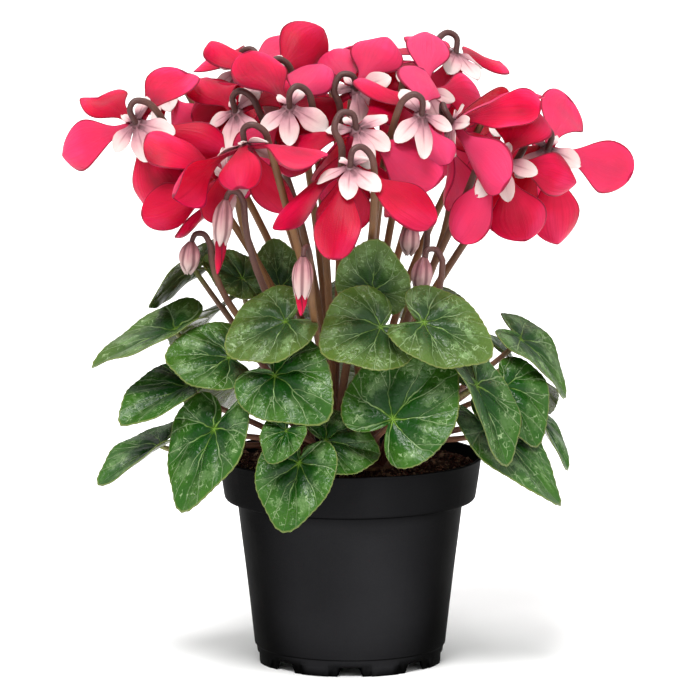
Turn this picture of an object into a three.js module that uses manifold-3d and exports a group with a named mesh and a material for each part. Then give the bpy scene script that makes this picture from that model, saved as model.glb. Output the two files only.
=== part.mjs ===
// A cyclamen in bloom, growing in a 13 cm plastic nursery pot.
// Millimetres, +Z up. The origin is on the pot's axis, at the level of its feet. The front is -Y.
import * as THREE from "three";
import { mergeVertices } from "three/addons/utils/BufferGeometryUtils.js";
import Module from "manifold-3d";

const wasm = await Module();
wasm.setup();

// Driving dimensions of the pot, the soil and the tuber.
const clearance = 0.3;
const lathSides = 32;
const lipRadius = 65;
const potHeight = 102;
const bandHeight = 21.5;
const bandFootRadius = 61.6;
const shoulderRadius = 55.2;
const stepRadius = 46.8;
const stepHeight = 8.5;
const footRadius = 45.4;
const potWall = 1.5;
const potRounding = 0.6;
const floorHeight = 5;
const notchCount = 8;
const notchTopWidth = 8.4;
const notchFootWidth = 13;
const notchHeight = 4.6;
const skirtGapWidth = 21;
const skirtGapDepth = 0.6;
const soilEdgeHeight = 97;
const soilMoundHeight = 98.6;
const tuberRadius = 27.3;
const tuberTop = 100;
const tuberDepth = 22;
const tuberEdge = { height: 2, bevel: 0.6 };

// Driving dimensions of the plant.
const crown = new THREE.Vector3(0, 0, tuberTop);
const stemStart = tuberTop + clearance;
const eye = { offset: 6.5, radius: 6.4, taper: 0.6, height: 6, spread: 0.06, sides: 8 };
const stalk = { radius: 2.2, hookRadius: 1.7, budRadius: 1.5, sides: 4, steps: 3 };

// A stalk's hook in its bloom's frame. The gate is the gap between two petals beside the calyx, the nearest
// one to its usual turn from the top, and the approach is the last straight part below it. The hook's points
// are a share of the gate's turn, a distance from the bloom's axis and one out of the calyx's face.
const hook = {
  usualTurn: 115, gateRadius: 11.5, gateOut: -1.5, approach: 17, lean: -0.45,
  over: [[0.74, 11, 4], [0.44, 8.8, 7.4], [0.16, 4.6, 6.6], [0, 0, 0.5]],
};

// A bud's hook as distances ahead of its own place and above it, and its calyx as shares of its length.
const budHook = { shoulder: [-9, -2], over: [[-6, 3.2], [-1.6, 3.6], [0.4, 0]] };
const budCalyx = {
  drops: [0, 0.3, 0.75, 1], radii: [1.9, 4.6, 4.9], shut: 1.1, open: 2.6, lean: 0.12, sides: 6,
};
const budTip = { start: 0.8, radii: [2.4, 2.7, 0.6] };

const petiole = {
  baseRadius: 2, tipRadius: 1.5, sides: 4, steps: 3, rootRadius: 25.5, innerRoot: 17.5, rise: 42, lean: 0.6,
  leave: 0.36, arrive: 0.3, gather: 0.8,
};
const leafThickness = 0.9;
const leafFacing = { outward: 0.75, upward: 0.66 };

// A leaf blade's outline, as shares of its length: its breadth, its reach towards the tip, its short point
// and the notch behind its petiole. The spreads are in radians.
const heart = {
  breadth: 0.6, reach: 0.24, rounding: 1.5, point: 0.16, pointSpread: 0.34, notch: 0.88, notchSpread: 0.54,
};
const leafSurface = { innerRing: 0.52, softness: 0.1, ripple: 0.045, scallop: 0.025 };
const borderAngles = [0, 22, 44, 66, 88, 110, 132, 152, 180];
const leafBorder = [...borderAngles, ...borderAngles.slice(1, -1).reverse().map((angle) => -angle)];
const petalShape = {
  length: 41, start: 3.6, sink: -1.2, claw: 2.6, width: 13.4, opens: [0.12, 0.66], fullest: 0.65, rise: 10,
  bend: 30, heart: 6, thickness: 0.7, stations: [0, 0.28, 0.55, 0.8, 1], across: [-1, 0, 1],
};
const sepalShape = {
  length: 16, start: 2.2, sink: 0.5, claw: 1.7, width: 4.9, opens: [0.05, 0.5], fullest: 0.5, rise: 2,
  bend: 26, heart: 0, thickness: 0.7, stations: [0, 0.55, 1], across: [-1, 1],
};
const petalAngles = [0, 72, 144, 216, 288];
const petalTwists = [0.1, 0.8];

// The sepals hang like a skirt: the top one is the shortest. In the order of their turn from it towards the
// stalk, they swing so that the stalk passes between the second and the third.
const sepalSizes = [0.48, 0.85, 1.12, 1.12, 0.95];
const sepalSwings = [0, -10, 16, 0, -13];
const sepalGap = 111;

// The petals' usual twist in degrees, and their breadth and hollow as shares. Each petal differs from that
// by a wave: its height, its step from one petal to the next, and its step from one bloom to the next.
const petalUsual = { twist: 14, breadth: 0.93, hollow: 0.24 };
const petalWaves = {
  lift: [11, 2.1, 1.7], twist: [20, 1.9, 1.3], curl: [14, 1.3, 0.9], breadth: [0.14, 2.3, 1.9],
  hollow: [0.2, 1.7, 2.1],
};

// Ways for a blade to find its room among those already there, the nearest to its own place first: its
// size, and how far it is pushed outward, lifted and swung.
const leafWays = {
  sizes: [1, 0.9, 0.8, 0.7, 0.6],
  pushes: [0, 5, -5, 10, -10],
  lifts: [0, 8, -8, 16, -16, 26, -26],
  swings: [0, 13, -13, 26, -26],
};
const petalWays = {
  sizes: [1, 0.9, 0.8, 0.7, 0.6, 0.5],
  pushes: [0],
  lifts: [0, -10, 8, -20, 16, -32, 26, -45, -60],
  swings: [0, 11, -11, 22, -22],
};
const rootTurns = [0, 6, -6, 12, -12, 18, -18, 24, -24, 32, -32, 40, -40, 50, -50, 60, -60];

const colours = {
  pot: [0x17181a, 0.55], soil: [0x3a1f14, 0.95], tuber: [0x6b4a34, 0.9], stalk: [0x9a6a4c, 0.5],
  petal: [0xe5203f, 0.5], leaf: [0x2f6a34, 0.45],
};

// Blooms: the calyx's place, the way that it faces (bearing and height, in degrees; bearing -90 is the
// front), how far it is spun, how far its petals hang below the usual, and its size.
const blooms = [
  { at: [0, -80, 253.5], face: [-90, 60], spin: 25, hang: 0, size: 1.1, bunch: "left_front" },
  { at: [3, -58, 269], face: [-88, 46], spin: 34, hang: 6, size: 1.08, bunch: "right_front" },
  { at: [-103, -25, 268], face: [-112, 30], spin: 20, hang: 0, size: 1.04, bunch: "left_front" },
  { at: [36, 2, 281], face: [-80, 28], spin: 0, hang: 0, size: 1, bunch: "right_back" },
  { at: [73, -37, 251], face: [-98, 26], spin: 14, hang: 8, size: 1, bunch: "right_front" },
  { at: [96, 2, 252], face: [-80, 34], spin: 12, hang: 0, size: 1.1, bunch: "right_back" },
  { at: [-39, 2, 286], face: [-90, 33], spin: 20, hang: 0, size: 1, bunch: "left_back" },
  { at: [-29, -45, 278], face: [-85, 34], spin: 20, hang: 0, size: 1, bunch: "left_front" },
  { at: [50, -26, 268], face: [-168, 24], spin: 20, hang: 14, size: 1.1, bunch: "right_front" },
  { at: [-50, -62, 262], face: [110, 62], spin: 0, hang: 12, size: 1, bunch: "left_front" },
  { at: [34, -50, 275], face: [-70, 36], spin: -25, hang: 8, size: 0.95, bunch: "right_front" },
  { at: [-55, -20, 273], face: [-122, 34], spin: 15, hang: 0, size: 1, bunch: "left_front" },
  { at: [3, -14, 283], face: [-90, 34], spin: 30, hang: 6, size: 1, bunch: "right_front" },
  { at: [52, 45, 294], face: [-35, 62], spin: 0, hang: 0, size: 1, bunch: "right_back" },
  { at: [-53, 32, 288], face: [-120, 50], spin: 30, hang: 0, size: 1, bunch: "left_back" },
  { at: [-60, -44, 243], face: [-40, 2], spin: 20, hang: 8, size: 1, bunch: "left_front" },
  { at: [77, 38, 264], face: [-30, 52], spin: 0, hang: 0, size: 1, bunch: "right_back" },
  { at: [-89, 42, 275], face: [-165, 52], spin: 0, hang: 0, size: 1, bunch: "left_back" },
  { at: [-21, 62, 284], face: [100, 50], spin: 0, hang: 0, size: 1, bunch: "left_back" },
  { at: [14, 76, 286], face: [75, 48], spin: 25, hang: 0, size: 1, bunch: "right_back" },
  { at: [-64, 80, 256], face: [128, 32], spin: -20, hang: 0, size: 1, bunch: "left_back" },
  { at: [58, 84, 253], face: [58, 32], spin: 15, hang: 0, size: 1, bunch: "right_back" },
];

// Buds: where the nodding bud hangs from, the bearing that its hook turns to, its length, and how far its
// red tip shows.
const buds = [
  { at: [-76, -34, 212], bearing: 195, length: 15, tip: 0, bunch: "left_front" },
  { at: [-59, -62, 236], bearing: 200, length: 21, tip: 15, bunch: "left_front" },
  { at: [-22, -92, 213], bearing: 250, length: 19, tip: 9, bunch: "left_front" },
  { at: [36, -46, 206], bearing: 200, length: 17, tip: 0, bunch: "right_front" },
  { at: [30, -34, 220], bearing: 215, length: 14, tip: 0, bunch: "right_front" },
];

// Leaves: where the blade sits on its petiole, its tip, its width against the usual, how far its halves
// fold up, how far it droops, and for some the way that its upper side faces.
const leaves = [
  { at: [20, -76, 132], tip: [47, -72, 164], width: 0.95, fold: 0.1, droop: 0.1 },
  { at: [-65, -62, 125], tip: [-82, -76, 88], width: 0.85, fold: 0.12, droop: 0.1 },
  { at: [-31, -66, 178], tip: [-51, -82, 159], width: 1.05, fold: 0.1, droop: 0.1 },
  { at: [-58, -52, 158], tip: [-89, -50, 161], width: 1, fold: 0.05, droop: 0.1 },
  { at: [-31, -64, 153], tip: [-8, -86, 138], width: 0.95, fold: 0.12, droop: 0.15 },
  { at: [-24, -82, 112], tip: [-33, -92, 81], width: 0.85, fold: 0.1, droop: 0.05 },
  { at: [14, -72, 176], tip: [-13, -86, 168], width: 1.1, fold: 0.08, droop: 0.1 },
  { at: [33, -68, 178], tip: [66, -75, 166], width: 0.9, fold: 0.1, droop: 0.15, face: [0.2, -0.72, 0.66] },
  { at: [10, -48, 192], tip: [21, -52, 219], width: 0.9, fold: 0.12, droop: 0.1 },
  { at: [68, -48, 122], tip: [102, -58, 88], width: 0.75, fold: 0.15, droop: 0.05 },
  { at: [70, -30, 141], tip: [88, -40, 115], width: 0.95, fold: 0.12, droop: 0.1, face: [0.5, -0.6, 0.5] },
  { at: [78, -8, 160], tip: [104, -14, 136], width: 0.85, fold: 0.12, droop: 0.2, face: [0.7, -0.3, 0.65] },
  { at: [60, -68, 147], tip: [77, -78, 111], width: 0.75, fold: 0.3, droop: 0.05, face: [0.85, -0.45, 0.3] },
  { at: [-12, -66, 120], tip: [18, -82, 112], width: 0.95, fold: 0.08, droop: 0.1 },
  { at: [-85, -22, 167], tip: [-126, -27, 152], width: 0.8, fold: 0.3, droop: 0.1 },
  { at: [-79, -32, 141], tip: [-117, -34, 131], width: 0.8, fold: 0.35, droop: 0.1 },
  { at: [-92, -28, 111], tip: [-123, -36, 95], width: 0.85, fold: 0.3, droop: 0.05 },
  { at: [84, 14, 146], tip: [112, 18, 120], width: 0.95, fold: 0.15, droop: 0.15 },
  { at: [88, -6, 124], tip: [110, -10, 99], width: 0.95, fold: 0.12, droop: 0.1 },
  { at: [44, -44, 164], tip: [68, -52, 146], width: 0.95, fold: 0.1, droop: 0.1 },
  { at: [-66, -2, 194], tip: [-92, -8, 176], width: 0.95, fold: 0.1, droop: 0.25, face: [-0.4, 0.45, 0.8] },
  { at: [-48, -8, 190], tip: [-67, -10, 202], width: 0.9, fold: 0.2, droop: -0.1, face: [0.2, -0.6, 0.7] },
  { at: [-34, 2, 184], tip: [-38, 4, 208], width: 0.95, fold: 0.1, droop: 0.1, face: [-0.2, -0.9, 0.3] },
  { at: [-30, -90, 129], tip: [-32, -97, 113], width: 0.9, fold: 0.2, droop: 0.05 },
];
const backLeafCount = 6;
const backLeafLow = { reach: 74, height: 130, size: 42 };
const backLeafHigh = { reach: 56, height: 172, size: 40 };
const backLeafSlope = 35;
const backLeafStart = 32;
const backLeafStep = 26;
for (let k = 0; k < backLeafCount; k += 1) {
  const { reach, height, size } = k % 2 ? backLeafHigh : backLeafLow;
  const bearing = degrees(backLeafStart + backLeafStep * k);
  const tipReach = reach + size * Math.cos(degrees(backLeafSlope));
  leaves.push({
    at: [reach * Math.cos(bearing), reach * Math.sin(bearing), height],
    tip: [
      tipReach * Math.cos(bearing),
      tipReach * Math.sin(bearing),
      height - size * Math.sin(degrees(backLeafSlope)),
    ],
    width: 1,
    fold: 0.12,
    droop: 0.15,
  });
}

function degrees(angle) {
  return THREE.MathUtils.degToRad(angle);
}

function vector(list) {
  return new THREE.Vector3(...list);
}

// The sum of each vector times its number: blend(a, 2, b, -1) is 2a - b.
function blend(...pairs) {
  const sum = new THREE.Vector3();
  for (let i = 0; i < pairs.length; i += 2) sum.addScaledVector(pairs[i], pairs[i + 1]);
  return sum;
}

// The part of a vector that lies across an axis, at unit length.
function acrossAxis(direction, axis) {
  return blend(direction, 1, axis, -direction.dot(axis)).normalize();
}

function material([colour, roughness]) {
  return new THREE.MeshStandardMaterial({ color: colour, roughness, metalness: 0, side: THREE.DoubleSide });
}

// Solids and geometry.
function solid(geometry) {
  const bare = geometry.clone();
  bare.deleteAttribute("normal");
  bare.deleteAttribute("uv");
  const merged = mergeVertices(bare, 1e-4);
  return new wasm.Manifold(
    new wasm.Mesh({
      numProp: 3,
      vertProperties: merged.attributes.position.array,
      triVerts: new Uint32Array(merged.index.array),
    }),
  );
}

function indexed(points, triangles) {
  const geometry = new THREE.BufferGeometry().setFromPoints(points);
  geometry.setIndex(triangles.flat());
  return geometry;
}

function fused(solids) {
  return solids.reduce((all, next) => all.add(next));
}

function meshOf(name, body, finish) {
  const { vertProperties, triVerts, numProp } = body.getMesh();
  const geometry = new THREE.BufferGeometry();
  const interleaved = new THREE.InterleavedBuffer(vertProperties, numProp);
  geometry.setAttribute("position", new THREE.InterleavedBufferAttribute(interleaved, 3, 0));
  geometry.setIndex(new THREE.BufferAttribute(triVerts, 1));
  const mesh = new THREE.Mesh(geometry.toNonIndexed(), finish);
  mesh.name = name;
  return mesh;
}

// A round body along a line of points, with one radius for each point. Its rings have a corner on the side
// that the reference points to, and its first ring lies level where the stem stands on something.
function sweep(points, radii, sides, reference, levelStart = false) {
  const corners = [];
  points.forEach((point, i) => {
    const before = points[Math.max(i - 1, 0)];
    const after = points[Math.min(i + 1, points.length - 1)];
    const along = blend(after, 1, before, -1).normalize();
    if (i === 0 && levelStart) along.set(0, 0, 1);
    const side = acrossAxis(reference, along);
    const other = along.clone().cross(side);
    for (let k = 0; k < sides; k += 1) {
      const turn = (2 * Math.PI * k) / sides;
      corners.push(blend(point, 1, side, radii[i] * Math.cos(turn), other, radii[i] * Math.sin(turn)));
    }
  });
  const triangles = [];
  for (let i = 0; i + 1 < points.length; i += 1) {
    for (let k = 0; k < sides; k += 1) {
      const next = (k + 1) % sides;
      const [a, b, c, d] = [i * sides + k, i * sides + next, (i + 1) * sides + next, (i + 1) * sides + k];
      triangles.push([a, b, c], [a, c, d]);
    }
  }
  const last = (points.length - 1) * sides;
  for (let k = 1; k + 1 < sides; k += 1) {
    triangles.push([0, k + 1, k], [last, last + k, last + k + 1]);
  }
  return solid(indexed(corners, triangles));
}

// The faces of a thin blade: the same triangles on both sides, each half the thickness away from the
// middle surface, and a wall along the border, which runs anticlockwise seen from above.
function bladeFaces({ points, normals, triangles, border }, thickness) {
  const upper = points.map((point, i) => blend(point, 1, normals[i], thickness / 2));
  const lower = points.map((point, i) => blend(point, 1, normals[i], -thickness / 2));
  const faces = [];
  for (const [a, b, c] of triangles) faces.push(upper[a], upper[b], upper[c], lower[a], lower[c], lower[b]);
  for (let i = 0; i + 1 < border.length; i += 1) {
    const [a, b] = [border[i], border[i + 1]];
    faces.push(upper[a], lower[a], lower[b], upper[a], lower[b], upper[b]);
  }
  return faces;
}

function solidOf(faces) {
  return solid(new THREE.BufferGeometry().setFromPoints(faces));
}

// Bodies already in place, so that what grows later can keep clear of them.
const placed = [];

function boxesMeet(a, b) {
  return [0, 1, 2].every((i) => a.min[i] < b.max[i] && b.min[i] < a.max[i]);
}

// Whether a trial body is clear of all the others. It isn't used again, so its memory is freed.
function isClear(trial) {
  const box = trial.boundingBox();
  const clear = placed.every((other) => {
    if (!boxesMeet(box, other.box)) return true;
    const common = trial.intersect(other.body);
    const empty = common.isEmpty();
    common.delete();
    return empty;
  });
  trial.delete();
  return clear;
}

// The first way at which a blade has room. The test is given each way and says whether all is clear.
function findRoom({ sizes, pushes, lifts, swings }, hasRoom) {
  for (const size of sizes) {
    for (const lift of lifts) {
      for (const push of pushes) {
        for (const swing of swings) {
          const way = { size, push, lift: degrees(lift), swing: degrees(swing) };
          if (hasRoom(way)) return way;
        }
      }
    }
  }
  return null;
}

// The pot: a thin wall with a banded rim, a raised floor, and notches in its foot that let water out.
function makePot() {
  const bandBottom = potHeight - bandHeight;
  const outline = [
    [0, floorHeight],
    [footRadius - potWall, floorHeight],
    [footRadius - potWall, 0],
    [footRadius, 0],
    [footRadius + potRounding, stepHeight - potRounding],
    [stepRadius, stepHeight],
    [shoulderRadius, bandBottom - 2 * potRounding],
    [bandFootRadius - 2 * potRounding, bandBottom],
    [bandFootRadius, bandBottom + potWall],
    [lipRadius - potRounding, potHeight - 2 * potRounding],
    [lipRadius, potHeight - potRounding],
    [lipRadius - potRounding, potHeight],
    [lipRadius - potWall, potHeight],
    [bandFootRadius - potWall, bandBottom + 2 * potWall],
    [shoulderRadius - potWall, bandBottom + potRounding],
    [stepRadius - potWall, stepHeight + potRounding],
    [stepRadius - 2 * potWall, floorHeight + potWall],
    [0, floorHeight + potWall],
  ];
  const profile = outline.map(([x, y]) => new THREE.Vector2(x, y));
  const lathe = new THREE.LatheGeometry(profile, lathSides).rotateX(Math.PI / 2);
  let pot = solid(lathe);
  const notch = new THREE.Shape([
    new THREE.Vector2(-notchFootWidth / 2, -1),
    new THREE.Vector2(notchFootWidth / 2, -1),
    new THREE.Vector2(notchTopWidth / 2, notchHeight),
    new THREE.Vector2(-notchTopWidth / 2, notchHeight),
  ]);
  const notchReach = 8;
  const gapReach = 4;
  const cutter = new THREE.ExtrudeGeometry(notch, { depth: notchReach, bevelEnabled: false });
  cutter.rotateX(Math.PI / 2).translate(0, -footRadius + notchReach / 2, 0);
  const gap = new THREE.BoxGeometry(skirtGapWidth, gapReach, notchHeight + 1);
  const gapDepth = Math.cos(Math.asin(skirtGapWidth / 2 / footRadius)) * footRadius - skirtGapDepth;
  gap.translate(0, -gapDepth - gapReach / 2, (notchHeight - 1) / 2);
  for (let k = 0; k < notchCount; k += 1) {
    const turn = (2 * Math.PI * k) / notchCount;
    pot = pot.subtract(solid(cutter.clone().rotateZ(turn))).subtract(solid(gap.clone().rotateZ(turn)));
  }
  return pot;
}

// The tuber's half outline, from its underside to the flat crown that the stems stand on.
function tuberOutline(grow) {
  return [
    [0, tuberTop - tuberDepth - grow],
    [tuberRadius * 0.36 + grow * 0.3, tuberTop - tuberDepth * 0.95 - grow],
    [tuberRadius * 0.73 + grow * 0.7, tuberTop - tuberDepth * 0.72 - grow * 0.7],
    [tuberRadius * 0.95 + grow, tuberTop - tuberDepth * 0.38 - grow * 0.3],
    [tuberRadius + grow, tuberTop - tuberEdge.height],
  ];
}

function makeTuber() {
  const outline = [...tuberOutline(0), [tuberRadius - tuberEdge.bevel, tuberTop], [0, tuberTop]];
  const profile = outline.map(([x, y]) => new THREE.Vector2(x, y));
  return solid(new THREE.LatheGeometry(profile, lathSides / 2).rotateX(Math.PI / 2));
}

// The soil fills the pot to just under its lip, with a hollow for the tuber.
function makeSoil() {
  const bandBottom = potHeight - bandHeight;
  const inset = potWall + 1.5 * clearance;
  const outline = [
    [0, floorHeight + potWall + clearance],
    [stepRadius - inset - potWall, floorHeight + potWall + clearance],
    [stepRadius - inset, stepHeight + potRounding + clearance],
    [shoulderRadius - inset, bandBottom + potRounding + clearance],
    [bandFootRadius - inset, bandBottom + 2 * potWall + clearance],
    [lipRadius - inset - potWall, soilEdgeHeight],
    [(lipRadius + tuberRadius) / 2, (soilMoundHeight * 3 + soilEdgeHeight) / 4],
    [tuberRadius + potWall, soilMoundHeight],
    ...tuberOutline(clearance).reverse(),
  ];
  const profile = outline.map(([x, y]) => new THREE.Vector2(x, y));
  return solid(new THREE.LatheGeometry(profile, lathSides).rotateX(Math.PI / 2));
}

// A bloom's frame: out is the way that the calyx faces, top points away from the crown in the petals'
// plane, and side is square to both. The hand is the side that faces the middle of the plant.
function bloomFrame({ at, face }) {
  const [bearing, height] = face.map(degrees);
  const out = new THREE.Vector3(
    Math.cos(height) * Math.cos(bearing),
    Math.cos(height) * Math.sin(bearing),
    Math.sin(height),
  );
  const centre = vector(at);
  const down = blend(crown, 1, centre, -1).normalize();
  const top = acrossAxis(down, out).negate();
  const side = out.clone().cross(top);
  return { centre, out, top, down, side, hand: side.x * centre.x < 0 ? 1 : -1 };
}

// A point of a bloom's frame: its turn from the top, its distance from the axis and its height out of it.
function inBloom({ centre, out, top, side }, turn, radius, height) {
  return blend(centre, 1, top, radius * Math.cos(turn), side, radius * Math.sin(turn), out, height);
}

// The turn of the gap between two petals that the stalk passes through, on the hand of the bloom.
function gateTurn({ spin }, { hand }) {
  const halfGap = 180 / petalAngles.length;
  const gaps = petalAngles.map((angle) => {
    const turn = hand * (angle + spin + halfGap);
    return THREE.MathUtils.euclideanModulo(turn + 180, 360) - 180;
  });
  const miss = (gap) => Math.abs(gap - hook.usualTurn);
  const nearest = gaps.reduce((best, gap) => (miss(gap) < miss(best) ? gap : best));
  return hand * degrees(nearest);
}

// Half the width of a petal or sepal: a narrow claw that opens into a rounded blade.
function halfWidth({ claw, width, opens, fullest }, u, breadth) {
  const opening = THREE.MathUtils.smoothstep(u, ...opens);
  const past = Math.max(0, u - fullest) / (1 - fullest);
  return (claw + (width * breadth - claw) * opening) * Math.sqrt(Math.max(0, 1 - past ** 2));
}

// A petal or sepal: it leaves the bloom's axis at an angle and bends over evenly towards its tip. Its foot
// lies on the rosette's small middle disc, whose corners it shares with its neighbours.
function petal(shape, frame, angle, way, extra, firstRow = 0) {
  const { size, lift, swing, twist, curl, breadth, hollow } = way;
  const heading = (turn) => blend(frame.top, Math.cos(turn), frame.side, Math.sin(turn));
  const outward = heading(angle + swing);
  const lateral = frame.out.clone().cross(outward);
  const length = shape.length * size + extra / 2;
  const start = degrees(shape.rise) - lift;
  const bend = degrees(shape.bend) + curl;
  const points = [];
  const normals = [];
  shape.stations.slice(firstRow).forEach((u) => {
    if (u === 0) {
      shape.across.forEach((v) => {
        const reach = shape.start / (v ? Math.cos(Math.PI / 5) : 1);
        const corner = heading(angle + (v * Math.PI) / 5);
        points.push(blend(frame.centre, 1, corner, reach, frame.out, shape.sink));
        normals.push(frame.out);
      });
      return;
    }
    const slope = start + bend * u;
    const reach = shape.start + (length / bend) * (Math.sin(slope) - Math.sin(start));
    const level = shape.sink - (length / bend) * (Math.cos(start) - Math.cos(slope));
    const middle = blend(frame.centre, 1, outward, reach, frame.out, level);
    const upward = blend(frame.out, Math.cos(slope), outward, Math.sin(slope));
    const turn = twist * THREE.MathUtils.smoothstep(u, ...petalTwists);
    const normal = blend(upward, Math.cos(turn), lateral, -Math.sin(turn));
    const wide = blend(lateral, Math.cos(turn), upward, Math.sin(turn));
    const half = halfWidth(shape, u, breadth) * size + (u < 1 ? extra / 2 : 0);
    for (const v of u < 1 ? shape.across : [0]) {
      points.push(blend(middle, 1, wide, half * v, normal, -hollow * half * v * v));
      normals.push(normal);
    }
  });
  const row = shape.across.length;
  const bands = shape.stations.length - 2 - firstRow;
  const tip = points.length - 1;
  const triangles = [];
  for (let i = 0; i < bands; i += 1) {
    for (let j = 0; j + 1 < row; j += 1) {
      const a = i * row + j;
      triangles.push([a, a + row, a + row + 1], [a, a + row + 1, a + 1]);
    }
  }
  for (let j = 0; j + 1 < row; j += 1) {
    triangles.push([bands * row + j, tip, bands * row + j + 1]);
  }
  const rows = Array.from({ length: bands + 1 }, (_, i) => i);
  const sides = [...rows.map((i) => i * row), tip, ...rows.map((i) => (i + 1) * row - 1).reverse()];
  const foot = shape.across.map((_, j) => row - 1 - j);
  return { points, normals, triangles, border: sides, foot };
}

// One petal by itself, shut at its foot, for testing its room.
function petalBody(shape, frame, angle, way, extra, firstRow) {
  const blade = petal(shape, frame, angle, way, extra, firstRow);
  const border = [...blade.border, ...blade.foot.slice(1)];
  return solidOf(bladeFaces({ ...blade, border }, shape.thickness + extra));
}

// A rosette of petals or sepals as one sheet, round a small disc that hangs down in its middle.
function rosette(shape, frame, spin, ways) {
  const faces = [];
  const half = shape.thickness / 2;
  const above = blend(frame.centre, 1, frame.out, shape.sink + half);
  const below = blend(frame.centre, 1, frame.out, shape.sink - half - shape.heart);
  ways.forEach((way, i) => {
    const blade = petal(shape, frame, degrees(petalAngles[i] + spin), way ?? ways.find(Boolean), 0);
    const shown = way ? blade : { ...blade, triangles: [], border: blade.foot.toReversed() };
    faces.push(...bladeFaces(shown, shape.thickness));
    const ring = blade.foot.map((j) => blade.points[j]);
    for (let j = 0; j + 1 < ring.length; j += 1) {
      const [a, b] = [ring[j + 1], ring[j]];
      faces.push(above, blend(a, 1, frame.out, half), blend(b, 1, frame.out, half));
      faces.push(below, blend(b, 1, frame.out, -half), blend(a, 1, frame.out, -half));
    }
  });
  return solidOf(faces);
}

// The eye of the crown that a bunch of flower stalks grows from.
function eyeOf(bunch) {
  const x = bunch.startsWith("left") ? -eye.offset : eye.offset;
  const y = bunch.endsWith("front") ? -eye.offset : eye.offset;
  return new THREE.Vector3(x, y, stemStart);
}

// The line of a stalk from the crown to a point, starting upright and ending along a direction.
function risingLine(bunch, target, end, heading, steps) {
  const root = blend(eyeOf(bunch), 1, new THREE.Vector3(target.x, target.y, 0), eye.spread);
  const reach = root.distanceTo(end) / 3;
  const up = new THREE.Vector3(0, 0, 1);
  const leaving = blend(root, 1, up, reach);
  const arriving = blend(end, 1, heading, -reach);
  return new THREE.CubicBezierCurve3(root, leaving, arriving, end).getPoints(steps);
}

function taperedStalk(points, [from, to], reference) {
  const radii = points.map((_, i) => THREE.MathUtils.lerp(from, to, i / (points.length - 1)));
  return sweep(points, radii, stalk.sides, reference, true);
}

// The sepals in the order of their angles, for a bloom whose stalk passes on the given hand.
function sepalWays(hand) {
  return petalAngles.map((_, i) => {
    const k = hand > 0 ? i : (petalAngles.length - i) % petalAngles.length;
    const swing = hand * degrees(sepalSwings[k]);
    return { size: sepalSizes[k], lift: 0, swing, twist: 0, curl: 0, breadth: 1, hollow: 0 };
  });
}

// A flower stalk rises behind the petals to the gap beside the calyx, arches over and enters the calyx from
// outside. The sepals spread from there.
function stalkWithCalyx(bloom) {
  const frame = bloomFrame(bloom);
  const turn = gateTurn(bloom, frame);
  const gate = inBloom(frame, turn, hook.gateRadius, hook.gateOut);
  const over = hook.over.map(([share, radius, height]) => inBloom(frame, turn * share, radius, height));
  const approach = blend(gate, 1, blend(frame.down, 1, frame.out, hook.lean).normalize(), hook.approach);
  const heading = blend(gate, 1, approach, -1).normalize();
  const rise = risingLine(bloom.bunch, frame.centre, approach, heading, stalk.steps);
  const stem = taperedStalk([...rise, gate, ...over], [stalk.radius, stalk.hookRadius], frame.side);
  const sepalSpin = THREE.MathUtils.radToDeg(turn) - frame.hand * sepalGap;
  return stem.add(rosette(sepalShape, frame, sepalSpin, sepalWays(frame.hand)));
}

// A nodding bud: its sepals are shut round the petals, whose rolled tip may show below.
function stalkWithBud({ at, bearing, length, tip, bunch }) {
  const top = vector(at);
  const turn = degrees(bearing);
  const forward = new THREE.Vector3(Math.cos(turn), Math.sin(turn), 0);
  const up = new THREE.Vector3(0, 0, 1);
  const side = forward.clone().cross(up);
  const beside = ([ahead, height]) => blend(top, 1, forward, ahead, up, height);
  const rise = risingLine(bunch, top, beside(budHook.shoulder), up, stalk.steps);
  const stem = taperedStalk([...rise, ...budHook.over.map(beside)], [stalk.radius, stalk.budRadius], side);
  const [ahead, height] = budHook.over.at(-1);
  const drop = (share) => beside([ahead + budCalyx.lean * length * share, height - length * share]);
  const radii = [...budCalyx.radii, tip ? budCalyx.open : budCalyx.shut];
  const bodies = [stem, sweep(budCalyx.drops.map(drop), radii, budCalyx.sides, side)];
  if (tip) {
    const shares = [budTip.start, 1, 1 + tip / length];
    bodies.push(sweep(shares.map(drop), budTip.radii, budCalyx.sides, side));
  }
  return fused(bodies);
}

function makeBunch(bunch) {
  const knob = new THREE.CylinderGeometry(eye.radius * eye.taper, eye.radius, eye.height, eye.sides);
  const foot = eyeOf(bunch);
  knob.rotateX(Math.PI / 2).translate(foot.x, foot.y, foot.z + eye.height / 2);
  const stalks = blooms.filter((bloom) => bloom.bunch === bunch).map(stalkWithCalyx);
  const nodding = buds.filter((bud) => bud.bunch === bunch).map(stalkWithBud);
  return fused([solid(knob), ...stalks, ...nodding]);
}

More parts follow.
